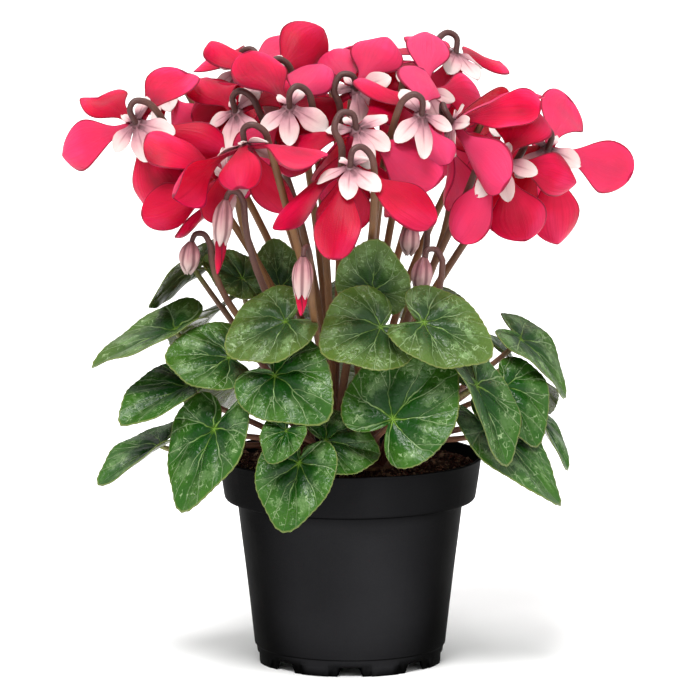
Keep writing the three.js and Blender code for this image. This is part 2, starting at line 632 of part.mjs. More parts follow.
// The petals of one bloom. Each finds its own room among what is there and beside its neighbours, and one
// that finds none is left out.
function makeBloom(bloom, index) {
  const frame = bloomFrame(bloom);
  const siblings = [];
  const ways = petalAngles.map((degreesRound, i) => {
    const angle = degrees(degreesRound + bloom.spin);
    const wave = ([most, step, bloomStep]) => most * Math.sin(step * i + bloomStep * index);
    const itsOwn = ({ size, lift, swing }) => ({
      size: size * bloom.size,
      lift: lift - degrees(bloom.hang + wave(petalWaves.lift)),
      swing,
      twist: degrees(petalUsual.twist + wave(petalWaves.twist)),
      curl: degrees(wave(petalWaves.curl)),
      breadth: petalUsual.breadth + wave(petalWaves.breadth),
      hollow: petalUsual.hollow + wave(petalWaves.hollow),
    });
    const way = findRoom(petalWays, (tried) => {
      const outer = petalBody(petalShape, frame, angle, itsOwn(tried), clearance, 1);
      const crossed = siblings.some((other) => !outer.intersect(other).isEmpty());
      outer.delete();
      return !crossed && isClear(petalBody(petalShape, frame, angle, itsOwn(tried), 2 * clearance, 0));
    });
    if (!way) return null;
    siblings.push(petalBody(petalShape, frame, angle, itsOwn(way), clearance, 1));
    return itsOwn(way);
  });
  return rosette(petalShape, frame, bloom.spin, ways);
}

// A leaf blade's reach from its petiole, for an angle from its tip: a broad heart, with a notch behind.
function heartReach(angle) {
  const away = Math.abs(angle);
  const broad = heart.breadth + heart.reach * ((1 + Math.cos(away)) / 2) ** heart.rounding;
  const point = heart.point * Math.exp(-((away / heart.pointSpread) ** 2));
  const notch = 1 - heart.notch * Math.exp(-(((Math.PI - away) / heart.notchSpread) ** 2));
  return (broad + point) * notch;
}

function leafFrame({ at, tip, face: given }, { push, lift, swing }) {
  const own = vector(at);
  const along = blend(vector(tip), 1, own, -1).normalize();
  const outward = new THREE.Vector3(own.x, own.y, 0).normalize();
  const base = blend(own, 1, outward, push);
  const up = new THREE.Vector3(0, 0, 1);
  const hint = given ? vector(given) : blend(outward, leafFacing.outward, up, leafFacing.upward);
  const face = acrossAxis(hint, along);
  const side = face.clone().cross(along);
  along.applyAxisAngle(face, swing);
  side.applyAxisAngle(face, swing);
  along.applyAxisAngle(side, -lift);
  face.applyAxisAngle(side, -lift);
  return { base, along, face, side, length: vector(tip).distanceTo(own) };
}

// A leaf's blade, with a gentle fold, a droop towards its tip and a wave along its scalloped border.
function leafBlade(leaf, index, way, extra) {
  const { base, along, face, side, length } = leafFrame(leaf, way);
  const reach = length * way.size + extra / 2;
  const points = [base.clone()];
  for (const ring of [leafSurface.innerRing, 1]) {
    leafBorder.forEach((angle, i) => {
      if (ring < 1 && i % 2) return;
      const turn = degrees(angle);
      const edge = ring === 1 && i % 2 ? 1 - leafSurface.scallop : 1;
      const radius = reach * ring * edge * heartReach(turn);
      const x = radius * Math.cos(turn);
      const y = radius * Math.sin(turn) * leaf.width;
      const softY = Math.hypot(y, leafSurface.softness * reach) - leafSurface.softness * reach;
      const droop = (leaf.droop * Math.max(x, 0) ** 2) / reach;
      const wave = leafSurface.ripple * reach * ring * ring * Math.sin(3 * turn + index);
      points.push(blend(base, 1, along, x, side, y, face, leaf.fold * softY - droop + wave));
    });
  }
  const inner = leafBorder.length / 2;
  const border = leafBorder.map((_, i) => 1 + inner + i);
  border.push(border[0]);
  const triangles = [];
  for (let i = 0; i < inner; i += 1) {
    const [a, b] = [1 + i, 1 + ((i + 1) % inner)];
    const [c, d, e] = border.slice(2 * i, 2 * i + 3);
    triangles.push([0, a, b], [a, c, d], [a, d, b], [b, d, e]);
  }
  const normals = points.map(() => face);
  return solidOf(bladeFaces({ points, normals, triangles, border }, leafThickness + extra));
}

// A petiole's line: the higher its leaf stands, the nearer the middle of the crown it starts.
function petioleSweep(leaf, way, rootTurn, extra) {
  const { base, face } = leafFrame(leaf, way);
  const bearing = Math.atan2(base.y, base.x);
  const climb = Math.atan2(base.z - tuberTop, Math.hypot(base.x, base.y));
  const rootReach = Math.max(petiole.innerRoot, petiole.rootRadius * Math.cos(climb) ** petiole.gather);
  const rootBearing = bearing + rootTurn;
  const root = new THREE.Vector3(Math.cos(rootBearing), Math.sin(rootBearing), 0).multiplyScalar(rootReach);
  root.z = stemStart;
  const first = climb / 2 + degrees(petiole.rise);
  const outward = new THREE.Vector3(Math.cos(bearing), Math.sin(bearing), 0);
  const leaving = blend(outward, Math.cos(first), new THREE.Vector3(0, 0, 1), Math.sin(first));
  const span = root.distanceTo(base);
  const arriving = blend(base, 1 / span, root, -1 / span, face, petiole.lean).normalize();
  const curve = new THREE.CubicBezierCurve3(
    root,
    blend(root, 1, leaving, span * petiole.leave),
    blend(base, 1, arriving, -span * petiole.arrive),
    base,
  );
  const points = curve.getPoints(petiole.steps);
  const radii = points.map(
    (_, i) => THREE.MathUtils.lerp(petiole.baseRadius, petiole.tipRadius, i / petiole.steps) + extra / 2,
  );
  const across = new THREE.Vector3(-Math.sin(bearing), Math.cos(bearing), 0);
  return sweep(points, radii, petiole.sides, across, true);
}

// A leaf finds room for its blade, and then for its petiole round the crown.
function makeLeaf(leaf, index) {
  let rootTurn = 0;
  const way = findRoom(leafWays, (tried) => {
    if (!isClear(leafBlade(leaf, index, tried, 2 * clearance))) return false;
    rootTurn = rootTurns.find((turn) => isClear(petioleSweep(leaf, tried, degrees(turn), 2 * clearance)));
    return rootTurn !== undefined;
  });
  if (!way) throw new Error(`leaf ${index + 1} finds no room`);
  return leafBlade(leaf, index, way, 0).add(petioleSweep(leaf, way, degrees(rootTurn), 0));
}

const numbered = (name, i) => `${name}_${String(i + 1).padStart(2, "0")}`;
const cyclamen = new THREE.Group();
cyclamen.name = "potted_cyclamen";

function grow(name, body, finish) {
  placed.push({ body, box: body.boundingBox() });
  cyclamen.add(meshOf(name, body, material(finish)));
}

grow("pot", makePot(), colours.pot);
grow("soil", makeSoil(), colours.soil);
grow("tuber", makeTuber(), colours.tuber);
for (const bunch of ["left_front", "right_front", "left_back", "right_back"]) {
  grow(`flower_stalks_${bunch}`, makeBunch(bunch), colours.stalk);
}
leaves.forEach((leaf, i) => grow(numbered("leaf", i), makeLeaf(leaf, i), colours.leaf));
blooms.forEach((bloom, i) => grow(numbered("bloom", i), makeBloom(bloom, i), colours.petal));

export default cyclamen;
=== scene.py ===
# A cyclamen in bloom in a black nursery pot, dressed for a studio view. Metres, +Z up, the front is -Y.
from math import atan2, cos, hypot, pi, radians, sin
import bmesh
import bpy
import numpy as np
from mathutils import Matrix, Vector, noise


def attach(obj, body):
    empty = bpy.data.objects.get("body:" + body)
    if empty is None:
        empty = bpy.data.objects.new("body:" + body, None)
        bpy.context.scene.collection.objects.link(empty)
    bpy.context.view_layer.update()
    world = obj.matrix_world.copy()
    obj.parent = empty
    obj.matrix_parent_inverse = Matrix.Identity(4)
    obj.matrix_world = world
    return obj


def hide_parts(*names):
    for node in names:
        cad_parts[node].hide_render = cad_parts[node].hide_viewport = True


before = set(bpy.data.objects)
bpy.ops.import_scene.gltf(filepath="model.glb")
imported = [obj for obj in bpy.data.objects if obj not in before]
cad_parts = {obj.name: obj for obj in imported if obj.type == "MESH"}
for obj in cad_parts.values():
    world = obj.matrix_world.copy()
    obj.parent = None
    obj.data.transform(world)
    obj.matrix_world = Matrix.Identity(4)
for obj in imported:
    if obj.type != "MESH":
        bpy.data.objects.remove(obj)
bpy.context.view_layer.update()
mm = 0.001
crown = np.array([0.0, 0.0, 100.0])  # where the stems meet; the plant's sizes are in millimetres
stemStart = 100.3
up = np.array([0.0, 0.0, 1.0])


# Directions and lines.
def unit(v):
    return v / np.linalg.norm(v)


def acrossAxis(direction, axis):
    return unit(direction - np.dot(direction, axis) * axis)


def turned(v, axis, angle):
    return v * cos(angle) + np.cross(axis, v) * sin(angle) + axis * np.dot(axis, v) * (1 - cos(angle))


def wayOf(bearing, height=0.0):  # both in radians
    return np.array([cos(height) * cos(bearing), cos(height) * sin(bearing), sin(height)])


def smoothStep(x, low, high):
    t = np.clip((x - low) / (high - low), 0.0, 1.0)
    return t * t * (3 - 2 * t)


def bezierLine(a, b, c, d, count):
    t = np.linspace(0.0, 1.0, count)[:, None]
    return a * (1 - t) ** 3 + 3 * b * t * (1 - t) ** 2 + 3 * c * t * t * (1 - t) + d * t ** 3


def throughPoints(points, perSpan):  # a smooth line through the points
    p = [2 * points[0] - points[1], *points, 2 * points[-1] - points[-2]]
    line = []
    for i in range(1, len(p) - 2):
        for t in np.linspace(0.0, 1.0, perSpan, endpoint=False):
            line.append(0.5 * (2 * p[i] + (p[i + 1] - p[i - 1]) * t
                               + (2 * p[i - 1] - 5 * p[i] + 4 * p[i + 1] - p[i + 2]) * t * t
                               + (3 * p[i] - p[i - 1] - 3 * p[i + 1] + p[i + 2]) * t ** 3))
    line.append(points[-1])
    return np.array(line)


# Meshes. A pile gathers points, faces, a flat map and values for each point, and becomes one mesh.
def newPile():
    return {"points": [], "faces": [], "uv": [], "values": {}}


def heap(pile, points, faces, uv=None, **values):
    start = len(pile["points"])
    pile["points"].extend(points)
    pile["faces"].extend([tuple(start + i for i in face) for face in faces])
    pile["uv"].extend([(0, 0)] * len(points) if uv is None else uv)
    for label, numbers in values.items():
        pile["values"].setdefault(label, []).extend(numbers)


def placed(name, data):
    piece = bpy.data.objects.new(name, data)
    bpy.context.scene.collection.objects.link(piece)
    return piece


def setValues(mesh, values):
    for label, numbers in values.items():
        layer = mesh.attributes.new(label, "FLOAT", "POINT")
        layer.data.foreach_set("value", np.array(numbers, np.float32))


def meshOf(name, pile, material=None):
    mesh = bpy.data.meshes.new(name)
    mesh.from_pydata([tuple(p) for p in np.array(pile["points"]) * mm], [], pile["faces"])
    corner = np.zeros(len(mesh.loops), np.int32)
    mesh.loops.foreach_get("vertex_index", corner)
    layer = mesh.uv_layers.new(name="blade")
    layer.data.foreach_set("uv", np.array(pile["uv"], np.float32)[corner].ravel())
    setValues(mesh, pile["values"])
    if material:
        mesh.materials.append(material)
    mesh.polygons.foreach_set("use_smooth", [True] * len(mesh.polygons))
    return placed(name, mesh)


def closedMesh(name, pile, material, distance=1e-6):  # with its seams and poles closed
    piece = meshOf(name, pile, material)
    shape = bmesh.new()
    shape.from_mesh(piece.data)
    bmesh.ops.remove_doubles(shape, verts=shape.verts, dist=distance)
    bmesh.ops.dissolve_degenerate(shape, edges=shape.edges, dist=distance)
    bmesh.ops.recalc_face_normals(shape, faces=shape.faces)
    shape.to_mesh(piece.data)
    shape.free()
    return piece


def dress(piece, slot, *nodes):
    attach(piece, "root")
    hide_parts(*nodes)


def nodePoints(name):  # a CAD node's corners
    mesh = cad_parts[name].data
    points = np.zeros(len(mesh.vertices) * 3)
    mesh.vertices.foreach_get("co", points)
    return np.unique(np.round(points.reshape(-1, 3) / mm, 3), axis=0)


def missBy(candidate, corners):  # how far a blade's points lie from a node's corners
    apart = np.linalg.norm(candidate[:, None, :] - corners[None, :, :], axis=2)
    return float(np.mean(apart.min(axis=1)))


# What is turned on an axis: pot, soil, tuber, buds and the throats of the blooms.
def spun(outline, turns, shift=None):
    grid = np.zeros((turns, len(outline), 3))
    for i in range(turns):
        angle = 2 * pi * i / turns
        for j, (radius, height) in enumerate(outline):
            point = (radius * cos(angle), radius * sin(angle), height)
            grid[i, j] = shift(point) if shift else point
    return grid


def roundFaces(turns, places):
    here = np.arange(turns * places).reshape(turns, places)
    after = np.roll(here, -1, axis=0)
    return np.stack([here[:, :-1], after[:, :-1], after[:, 1:], here[:, 1:]], axis=-1).reshape(-1, 4).tolist()


def heapRound(pile, grid, **values):
    heap(pile, grid.reshape(-1, 3), roundFaces(*grid.shape[:2]), **values)
    return pile


# Node trees.
def setInput(tree, socket, value):
    if isinstance(value, bpy.types.NodeSocket):
        tree.links.new(value, socket)
    else:
        socket.default_value = value


def addNode(tree, kind, inputs=None, **settings):
    node = tree.nodes.new(kind)
    for label, value in settings.items():
        setattr(node, label, value)
    for label, value in (inputs or {}).items():
        setInput(tree, node.inputs[label], value)
    return node


def sums(tree, operation, *values):
    return addNode(tree, "ShaderNodeMath", dict(enumerate(values)), operation=operation).outputs[0]


def plus(tree, first, second):
    return sums(tree, "ADD", first, second)


def less(tree, first, second):
    return sums(tree, "SUBTRACT", first, second)


def times(tree, total, *values):
    for value in values:
        total = sums(tree, "MULTIPLY", total, value)
    return total


def between(tree, value, low, high, start=0.0, end=1.0):  # a soft step from start to end
    return addNode(tree, "ShaderNodeMapRange", {"Value": value, "From Min": low, "From Max": high,
                                                "To Min": start, "To Max": end},
                   interpolation_type="SMOOTHSTEP").outputs["Result"]


litShare = 0.64  # the lamps are strong, so that the floor stays white, and the plant is darker by this much


def paint(code, share=litShare):  # a screen colour such as "e0304a" as the shader's numbers
    parts = [int(code[i:i + 2], 16) / 255 for i in (0, 2, 4)]
    return (*[share * (c / 12.92 if c <= 0.04045 else ((c + 0.055) / 1.055) ** 2.4) for c in parts], 1.0)


def mixed(tree, factor, first, second):  # each colour is a screen code, the shader's numbers or a link
    first, second = [paint(value) if isinstance(value, str) else value for value in (first, second)]
    return addNode(tree, "ShaderNodeMix", {0: factor, 6: first, 7: second}, data_type="RGBA").outputs[2]


def ramped(tree, value, stops):
    node = addNode(tree, "ShaderNodeValToRGB", {"Fac": value})
    ramp = node.color_ramp
    while len(ramp.elements) < len(stops):
        ramp.elements.new(0.5)
    for element, (place, code) in zip(ramp.elements, stops.items()):
        element.position = place
        element.color = paint(code)
    return node.outputs["Color"]


def noisy(tree, vector, scale, detail, roughness=0.5, output="Fac"):
    return addNode(tree, "ShaderNodeTexNoise", {"Vector": vector, "Scale": scale, "Detail": detail,
                                                "Roughness": roughness}).outputs[output]


def vectorSum(tree, operation, first, second):
    return addNode(tree, "ShaderNodeVectorMath", {0: first, 1: second}, operation=operation).outputs[0]


def joined(tree, **parts):
    return addNode(tree, "ShaderNodeCombineXYZ", parts).outputs["Vector"]


def parted(tree, vector):
    return addNode(tree, "ShaderNodeSeparateXYZ", {"Vector": vector}).outputs


def pointValue(tree, name):
    return addNode(tree, "ShaderNodeAttribute", attribute_name=name).outputs["Fac"]


def bladeMap(tree):
    return addNode(tree, "ShaderNodeUVMap", uv_map="blade").outputs["UV"]


def newGroup(name, inputs, outputs):  # an input without a number is a vector
    group = bpy.data.node_groups.new(name, "ShaderNodeTree")
    for label, value in inputs.items():
        kind = "NodeSocketVector" if value is None else "NodeSocketFloat"
        socket = group.interface.new_socket(label, in_out="INPUT", socket_type=kind)
        if value is not None:
            socket.default_value = value
    for label in outputs:
        group.interface.new_socket(label, in_out="OUTPUT", socket_type="NodeSocketFloat")
    return group, group.nodes.new("NodeGroupInput"), group.nodes.new("NodeGroupOutput")


def useGroup(tree, group, inputs):
    node = tree.nodes.new("ShaderNodeGroup")
    node.node_tree = group
    for label, value in inputs.items():
        setInput(tree, node.inputs[label], value)
    return node.outputs


# Growth speckle: soft blotches and fine grain that every surface here has, each at its own scale.
def makeSpeckle():
    inputs = {"Vector": None, "Blotch Scale": 60.0, "Grain Scale": 900.0}
    group, start, end = newGroup("growthSpeckle", inputs, ["Blotch", "Grain"])
    for label, detail, roughness in (("Blotch", 3.0, 0.55), ("Grain", 2.0, 0.6)):
        marks = noisy(group, start.outputs["Vector"], start.outputs[label + " Scale"], detail, roughness)
        group.links.new(marks, end.inputs[label])
    return group


speckle = makeSpeckle()


def newFinish(name, blotchScale, grainScale, glow=None, **constants):
    material = bpy.data.materials.new(name)
    material.use_nodes = True
    tree = material.node_tree
    if glow:  # how much light passes into the surface, and how far its red, green and blue go
        constants.update(Subsurface_Weight=glow[0], Subsurface_Radius=glow[1:], Subsurface_Scale=1.0)
    for label, value in constants.items():
        tree.nodes["Principled BSDF"].inputs[label.replace("_", " ")].default_value = value
    marks = useGroup(tree, speckle, {"Vector": addNode(tree, "ShaderNodeTexCoord").outputs["Object"],
                                     "Blotch Scale": blotchScale, "Grain Scale": grainScale})
    return material, tree, marks["Blotch"], marks["Grain"]


def finishWith(material, colour, height=None, strength=0.3, distance=0.0004, roughness=None):
    tree = material.node_tree
    shader = tree.nodes["Principled BSDF"]
    tree.links.new(colour, shader.inputs["Base Color"])
    if roughness:
        tree.links.new(roughness, shader.inputs["Roughness"])
    if height:
        bump = addNode(tree, "ShaderNodeBump", {"Strength": strength, "Distance": distance, "Height": height})
        tree.links.new(bump.outputs["Normal"], shader.inputs["Normal"])
    return material


def stemSkin(name, scales, label, stops, spots, wander=0.0, **constants):  # a stem's colours, and its spots
    material, tree, blotch, grain = newFinish(name, *scales, Roughness=0.5, **constants)
    along = pointValue(tree, label)
    if wander:
        along = plus(tree, along, times(tree, less(tree, blotch, 0.5), wander))
    kind, low, high, most, code = spots
    spotted = between(tree, grain if kind == "grain" else blotch, low, high, 0, most)
    return finishWith(material, mixed(tree, spotted, ramped(tree, along, stops), code), grain)


# Geometry Nodes trees, and the plain mesh that each one leaves behind.
def growTree(name, sockets):
    tree = bpy.data.node_groups.new(name, "GeometryNodeTree")
    tree.interface.new_socket("Geometry", in_out="INPUT", socket_type="NodeSocketGeometry")
    for label, kind in sockets.items():
        tree.interface.new_socket(label, in_out="INPUT", socket_type="NodeSocket" + kind)
    tree.interface.new_socket("Geometry", in_out="OUTPUT", socket_type="NodeSocketGeometry")
    return tree, tree.nodes.new("NodeGroupInput").outputs


def endTree(tree, geometry, material):
    real = addNode(tree, "GeometryNodeRealizeInstances", {"Geometry": geometry})
    coloured = addNode(tree, "GeometryNodeSetMaterial", {"Geometry": real.outputs["Geometry"],
                                                         "Material": material})
    addNode(tree, "NodeGroupOutput", {"Geometry": coloured.outputs["Geometry"]})
    return tree


def settle(host, tree, **inputs):
    modifier = host.modifiers.new(tree.name, "NODES")
    modifier.node_group = tree
    known = {item.name: item.identifier for item in tree.interface.items_tree if item.in_out == "INPUT"}
    for label, value in inputs.items():
        modifier[known[label]] = value
    bpy.context.view_layer.update()
    finished = host.evaluated_get(bpy.context.evaluated_depsgraph_get())
    mesh = bpy.data.meshes.new_from_object(finished)
    host.modifiers.remove(modifier)
    old = host.data
    host.data = mesh
    bpy.data.meshes.remove(old)
    return host


# Stems: each line of points becomes a round stem of its own thickness.
def makeStemTree():
    tree, start = growTree("sweptStems", {"Sides": "Int", "Material": "Material"})
    line = addNode(tree, "GeometryNodeMeshToCurve", {"Mesh": start["Geometry"]})
    ring = addNode(tree, "GeometryNodeCurvePrimitiveCircle", {"Resolution": start["Sides"], "Radius": 1.0})
    thick = addNode(tree, "GeometryNodeInputNamedAttribute", {"Name": "stemRadius"}, data_type="FLOAT")
    swept = addNode(tree, "GeometryNodeCurveToMesh", {"Curve": line.outputs["Curve"],
                                                      "Profile Curve": ring.outputs["Curve"],
                                                      "Scale": thick.outputs["Attribute"],
                                                      "Fill Caps": True})
    smooth = addNode(tree, "GeometryNodeSetShadeSmooth", {"Geometry": swept.outputs["Mesh"]})
    return endTree(tree, smooth.outputs["Geometry"], start["Material"])


stemTree = makeStemTree()


def growStems(name, stems, sides, material):  # stems are (points, radii, share along) in millimetres
    points, edges, radii, shares = [], [], [], []
    for line, radius, share in stems:
        first = len(points)
        points.extend(np.array(line) * mm)
        edges.extend([(first + i, first + i + 1) for i in range(len(line) - 1)])
        radii.extend(np.array(radius) * mm)
        shares.extend(share)
    mesh = bpy.data.meshes.new(name)
    mesh.from_pydata([tuple(p) for p in points], edges, [])
    setValues(mesh, {"stemRadius": radii, "stemShare": shares})
    return settle(placed(name, mesh), stemTree, Sides=sides, Material=material)


# The view: a long lens a little above the pot's rim, and soft light from above and both sides.
view = {"height": 9.0, "distance": 3.0, "width": 0.3402, "aim": (-0.001, 0.0, 0.1547), "sensor": 36.0,
        "reach": 20.0}
lights = {  # suns, so that the floor is evenly lit far behind the plant; spread is how soft the shadows are
    "world": 0.68,
    "suns": [
        {"name": "keyLight", "from": (-0.3, -0.95, 1.6), "spread": 26, "power": 4.1},
        {"name": "fillLight", "from": (1.2, -0.9, 0.8), "spread": 70, "power": 0.5},
        {"name": "topLight", "from": (0.1, 0.35, 1.6), "spread": 60, "power": 1.0},
    ],
}
floorReach = 6.0


def look(piece, way):
    piece.rotation_euler = way.to_track_quat("-Z", "Y").to_euler()


def makeView():
    camera = placed("camera", bpy.data.cameras.new("camera"))
    camera.data.sensor_width = view["sensor"]
    camera.data.lens = view["sensor"] * view["distance"] / view["width"]
    camera.data.clip_end = view["reach"]
    tilt, aim = radians(view["height"]), Vector(view["aim"])
    camera.location = aim + Vector((0.0, -cos(tilt), sin(tilt))) * view["distance"]
    look(camera, aim - camera.location)
    bpy.context.scene.camera = camera
    bpy.context.scene.view_settings.view_transform = "Standard"


def makeLight():
    world = bpy.data.worlds.new("studio")
    bpy.context.scene.world = world
    world.use_nodes = True
    background = world.node_tree.nodes["Background"]
    background.inputs["Color"].default_value = paint("fbfbfb", 1)
    background.inputs["Strength"].default_value = lights["world"]
    for lamp in lights["suns"]:
        data = bpy.data.lights.new(lamp["name"], "SUN")
        data.angle = radians(lamp["spread"])
        data.energy = lamp["power"]
        piece = placed(lamp["name"], data)
        piece.location = lamp["from"]
        look(piece, -Vector(lamp["from"]))


def makeFloor():
    material, tree, blotch, _ = newFinish("paleFloor", 3.0, 40.0, Roughness=0.6)
    finishWith(material, mixed(tree, blotch, paint("fcfcfb", 1), paint("ffffff", 1)))
    mesh = bpy.data.meshes.new("floor")
    corners = [(floorReach * x, floorReach * y, 0) for x, y in ((-1, -1), (1, -1), (1, 1), (-1, 1))]
    mesh.from_pydata(corners, [], [(0, 1, 2, 3)])
    mesh.materials.append(material)
    placed("floor", mesh)


makeView()
makeLight()
makeFloor()
print("view, light and floor are set")


# The pot: a banded rim, a tapered wall, and a notched foot.
pot = {
    "outline": [  # radius and height, from the floor's underside round to the floor's upper side
        (0, 5), (30, 5), (43.2, 5), (43.9, 4.6), (43.9, 0), (45.4, 0), (45.5, 4.5), (45.6, 4.9), (46.0, 7.7),
        (46.15, 8.1), (46.5, 8.4), (46.9, 8.9), (49, 28), (51, 45), (53.3, 63), (55.0, 77), (55.3, 79.3),
        (55.8, 80.1), (56.8, 80.5), (60.2, 80.6), (61.0, 80.9), (61.5, 81.6), (61.8, 83), (63, 91),
        (64.3, 100.2), (64.8, 100.9), (65.0, 101.4), (64.8, 101.85), (64.3, 102), (63.8, 101.9),
        (63.4, 101.4), (62, 91), (60.2, 83.6), (53.8, 81), (49.5, 45), (45.3, 9.1), (43.8, 6.5), (0, 6.5)],
    "notches": 8, "notchTop": 4.6, "notchHalf": 5.3, "gapHalf": 13.3, "gapDepth": 0.6, "footInside": 45,
    "turns": [-22.5, -18.5, -14.0, -13.3, -10.5, -8.2, -5.3, -2.6, 0, 2.6, 5.3, 8.2, 10.5, 13.3, 14.0, 18.5],
    "rim": (0.074, 0.081),  # the heights over which painted shade comes in on the rim band, in metres
}


def potPlastic():
    material, tree, blotch, grain = newFinish("blackPlastic", 26.0, 1500.0, Specular_IOR_Level=0.012)
    height = parted(tree, addNode(tree, "ShaderNodeTexCoord").outputs["Object"])["Z"]
    wall = mixed(tree, blotch, "262628", "303032")
    # Painted shade: from just below the rim band upward, the wall is mixed half way to near black.
    rimShaded = mixed(tree, between(tree, height, *pot["rim"], 0.0, 0.5), wall, "0e0e0f")
    # Painted shade: the wall goes to near black towards its outline as the camera sees it.
    edge = addNode(tree, "ShaderNodeLayerWeight", {"Blend": 0.5}).outputs["Facing"]
    colour = mixed(tree, between(tree, edge, 0.04, 0.6), rimShaded, "010101")
    return finishWith(material, colour, grain, 0.25, 0.0003, between(tree, blotch, 0.3, 0.7, 0.5, 0.6))


def makePot():
    points = []
    for k in range(pot["notches"]):
        for offset in pot["turns"]:
            way = wayOf(radians(360 / pot["notches"] * k - 90 + offset))
            for radius, height in pot["outline"]:
                if abs(offset) <= pot["notchHalf"]:
                    height = max(height, pot["notchTop"])
                if abs(offset) <= pot["gapHalf"] and radius > pot["footInside"] and height <= pot["notchTop"]:
                    radius -= pot["gapDepth"]
                points.append(way * radius + up * height)
    grid = np.array(points).reshape(-1, len(pot["outline"]), 3)
    dress(closedMesh("nurseryPot", heapRound(newPile(), grid), potPlastic()), "pot", "pot")


makePot()
print("the pot is made")


# The soil: dark crumbly peat, mounded a little round the tuber, with loose crumbs on its top.
soil = {
    "under": [(0, 6.9), (43.2, 6.9), (44.7, 9.5), (53.1, 81.5), (59.5, 83.9), (61.3, 94)],
    "top": [(61.5, 96.6), (46.15, 98.0), (28.4, 98.4)],
    "hollow": [(27.7, 97.6), (26.2, 91.5), (20.1, 83.9), (9.9, 78.8), (0, 77.7)],
    "turns": 200, "rows": 30, "roughAbove": 90, "innerFade": 4, "outerFade": 3,
    "bumps": [(0.22, 3, 1.5), (0.9, 9, 0.7)],  # lumps and crumbs: how close together, a layer and a height
    "grains": 340000.0, "smallest": 0.0004, "largest": 0.0013, "seed": 7,
}


def soilShift(point):
    x, y, z = point
    radius = hypot(x, y)
    inside, outside = radius - soil["top"][-1][0], soil["top"][0][0] - radius
    if z < soil["roughAbove"] or inside < -0.5:
        return point
    fade = min(1.0, (inside + 1) / soil["innerFade"], (outside + 1.5) / soil["outerFade"])
    bumps = sum(noise.noise(Vector((x, y, layer)) * pace) * rise for pace, layer, rise in soil["bumps"])
    return (x, y, z + max(fade, 0) * bumps)


def peat():
    material, tree, blotch, grain = newFinish("peat", 260.0, 2200.0, Roughness=0.95, Specular_IOR_Level=0.2)
    dark = ramped(tree, blotch, {0.3: "24110c", 0.55: "3b1d13", 0.75: "54301f"})
    pale = mixed(tree, between(tree, grain, 0.62, 0.75), dark, "8a6a52")
    colour = mixed(tree, between(tree, pointValue(tree, "grainTone"), 0.72, 1.0), pale, "9a7a62")
    return finishWith(material, colour, plus(tree, grain, blotch), 0.8, 0.0012)


def makeGrainTree():
    tree, start = growTree("looseGrains", {"Density": "Float", "Smallest": "Float", "Largest": "Float",
                                           "Seed": "Int", "Material": "Material"})

    def dice(kind, low, high):
        first = 0 if kind == "FLOAT_VECTOR" else 2  # where the node keeps the sockets of this kind
        return addNode(tree, "FunctionNodeRandomValue", {first: low, first + 1: high, "Seed": start["Seed"]},
                       data_type=kind).outputs[first // 2]
    spread = addNode(tree, "GeometryNodeDistributePointsOnFaces", {
        "Mesh": start["Geometry"], "Density": start["Density"], "Seed": start["Seed"]})
    grain = addNode(tree, "GeometryNodeMeshIcoSphere", {"Radius": 1.0, "Subdivisions": 1})
    size = dice("FLOAT", start["Smallest"], start["Largest"])
    shape = dice("FLOAT_VECTOR", (0.6, 0.6, 0.4), (1.5, 1.1, 0.9))
    scale = addNode(tree, "ShaderNodeVectorMath", {0: shape, "Scale": size}, operation="SCALE")
    copies = addNode(tree, "GeometryNodeInstanceOnPoints", {
        "Points": spread.outputs["Points"], "Instance": grain.outputs["Mesh"], "Scale": scale.outputs[0],
        "Rotation": dice("FLOAT_VECTOR", (0.0, 0.0, 0.0), (6.28, 6.28, 6.28))})
    kept = addNode(tree, "GeometryNodeStoreNamedAttribute", {
        "Geometry": copies.outputs["Instances"], "Name": "grainTone", "Value": dice("FLOAT", 0.0, 1.0)},
        data_type="FLOAT", domain="INSTANCE")
    return endTree(tree, kept.outputs["Geometry"], start["Material"])


def makeSoil():
    radii = np.linspace(soil["top"][0][0], soil["top"][-1][0], soil["rows"])
    heights = np.interp(-radii, [-r for r, _ in soil["top"]], [z for _, z in soil["top"]])
    top = list(zip(radii, heights))
    finish = peat()
    grid = spun(soil["under"] + top + soil["hollow"], soil["turns"], soilShift)
    dress(closedMesh("pottingSoil", heapRound(newPile(), grid), finish), "soil", "soil")
    loose = meshOf("soilCrumbs", heapRound(newPile(), spun(top[1:-1], soil["turns"], soilShift)))
    settle(loose, makeGrainTree(), Density=soil["grains"], Smallest=soil["smallest"],
           Largest=soil["largest"], Seed=soil["seed"], Material=finish)
    dress(loose, "soil", "soil")


# The tuber: a flat corky disc, just showing its top, and four eyes that the stalks grow from.
tuber = {
    "outline": [(0, 78.3), (9.5, 79.3), (14, 80.9), (19.5, 84.3), (23, 87.8), (25.6, 91.8), (26.8, 95),
                (27.1, 97.6), (26.9, 98.8), (25.8, 99.6), (24, 99.8), (21, 99.75), (18, 99.8), (14, 99.7),
                (9, 99.8), (4, 99.7), (0, 99.7)],
    "knob": [(0, 100.0), (6.3, 100.2), (6.2, 101.6), (5.3, 103.8), (4.2, 105.4), (3.1, 106.1), (0, 106.3)],
    "turns": 120, "knobTurns": 24, "eyes": 6.5, "roughAbove": 92, "pace": 0.35, "rough": 0.5, "calm": 3,
    "flatAbove": 99, "swell": 0.1,
}
bunches = ["left_front", "right_front", "left_back", "right_back"]  # of stalks, one on each eye


def tuberShift(point):
    x, y, z = point
    if z < tuber["roughAbove"]:
        return point
    rough = (noise.noise(Vector((x, y, z)) * tuber["pace"]) - 0.5) * tuber["rough"]
    swell = 0 if z > tuber["flatAbove"] else tuber["swell"]
    return (x, y, z + rough * min(1.0, hypot(x, y) / tuber["calm"]) + swell)


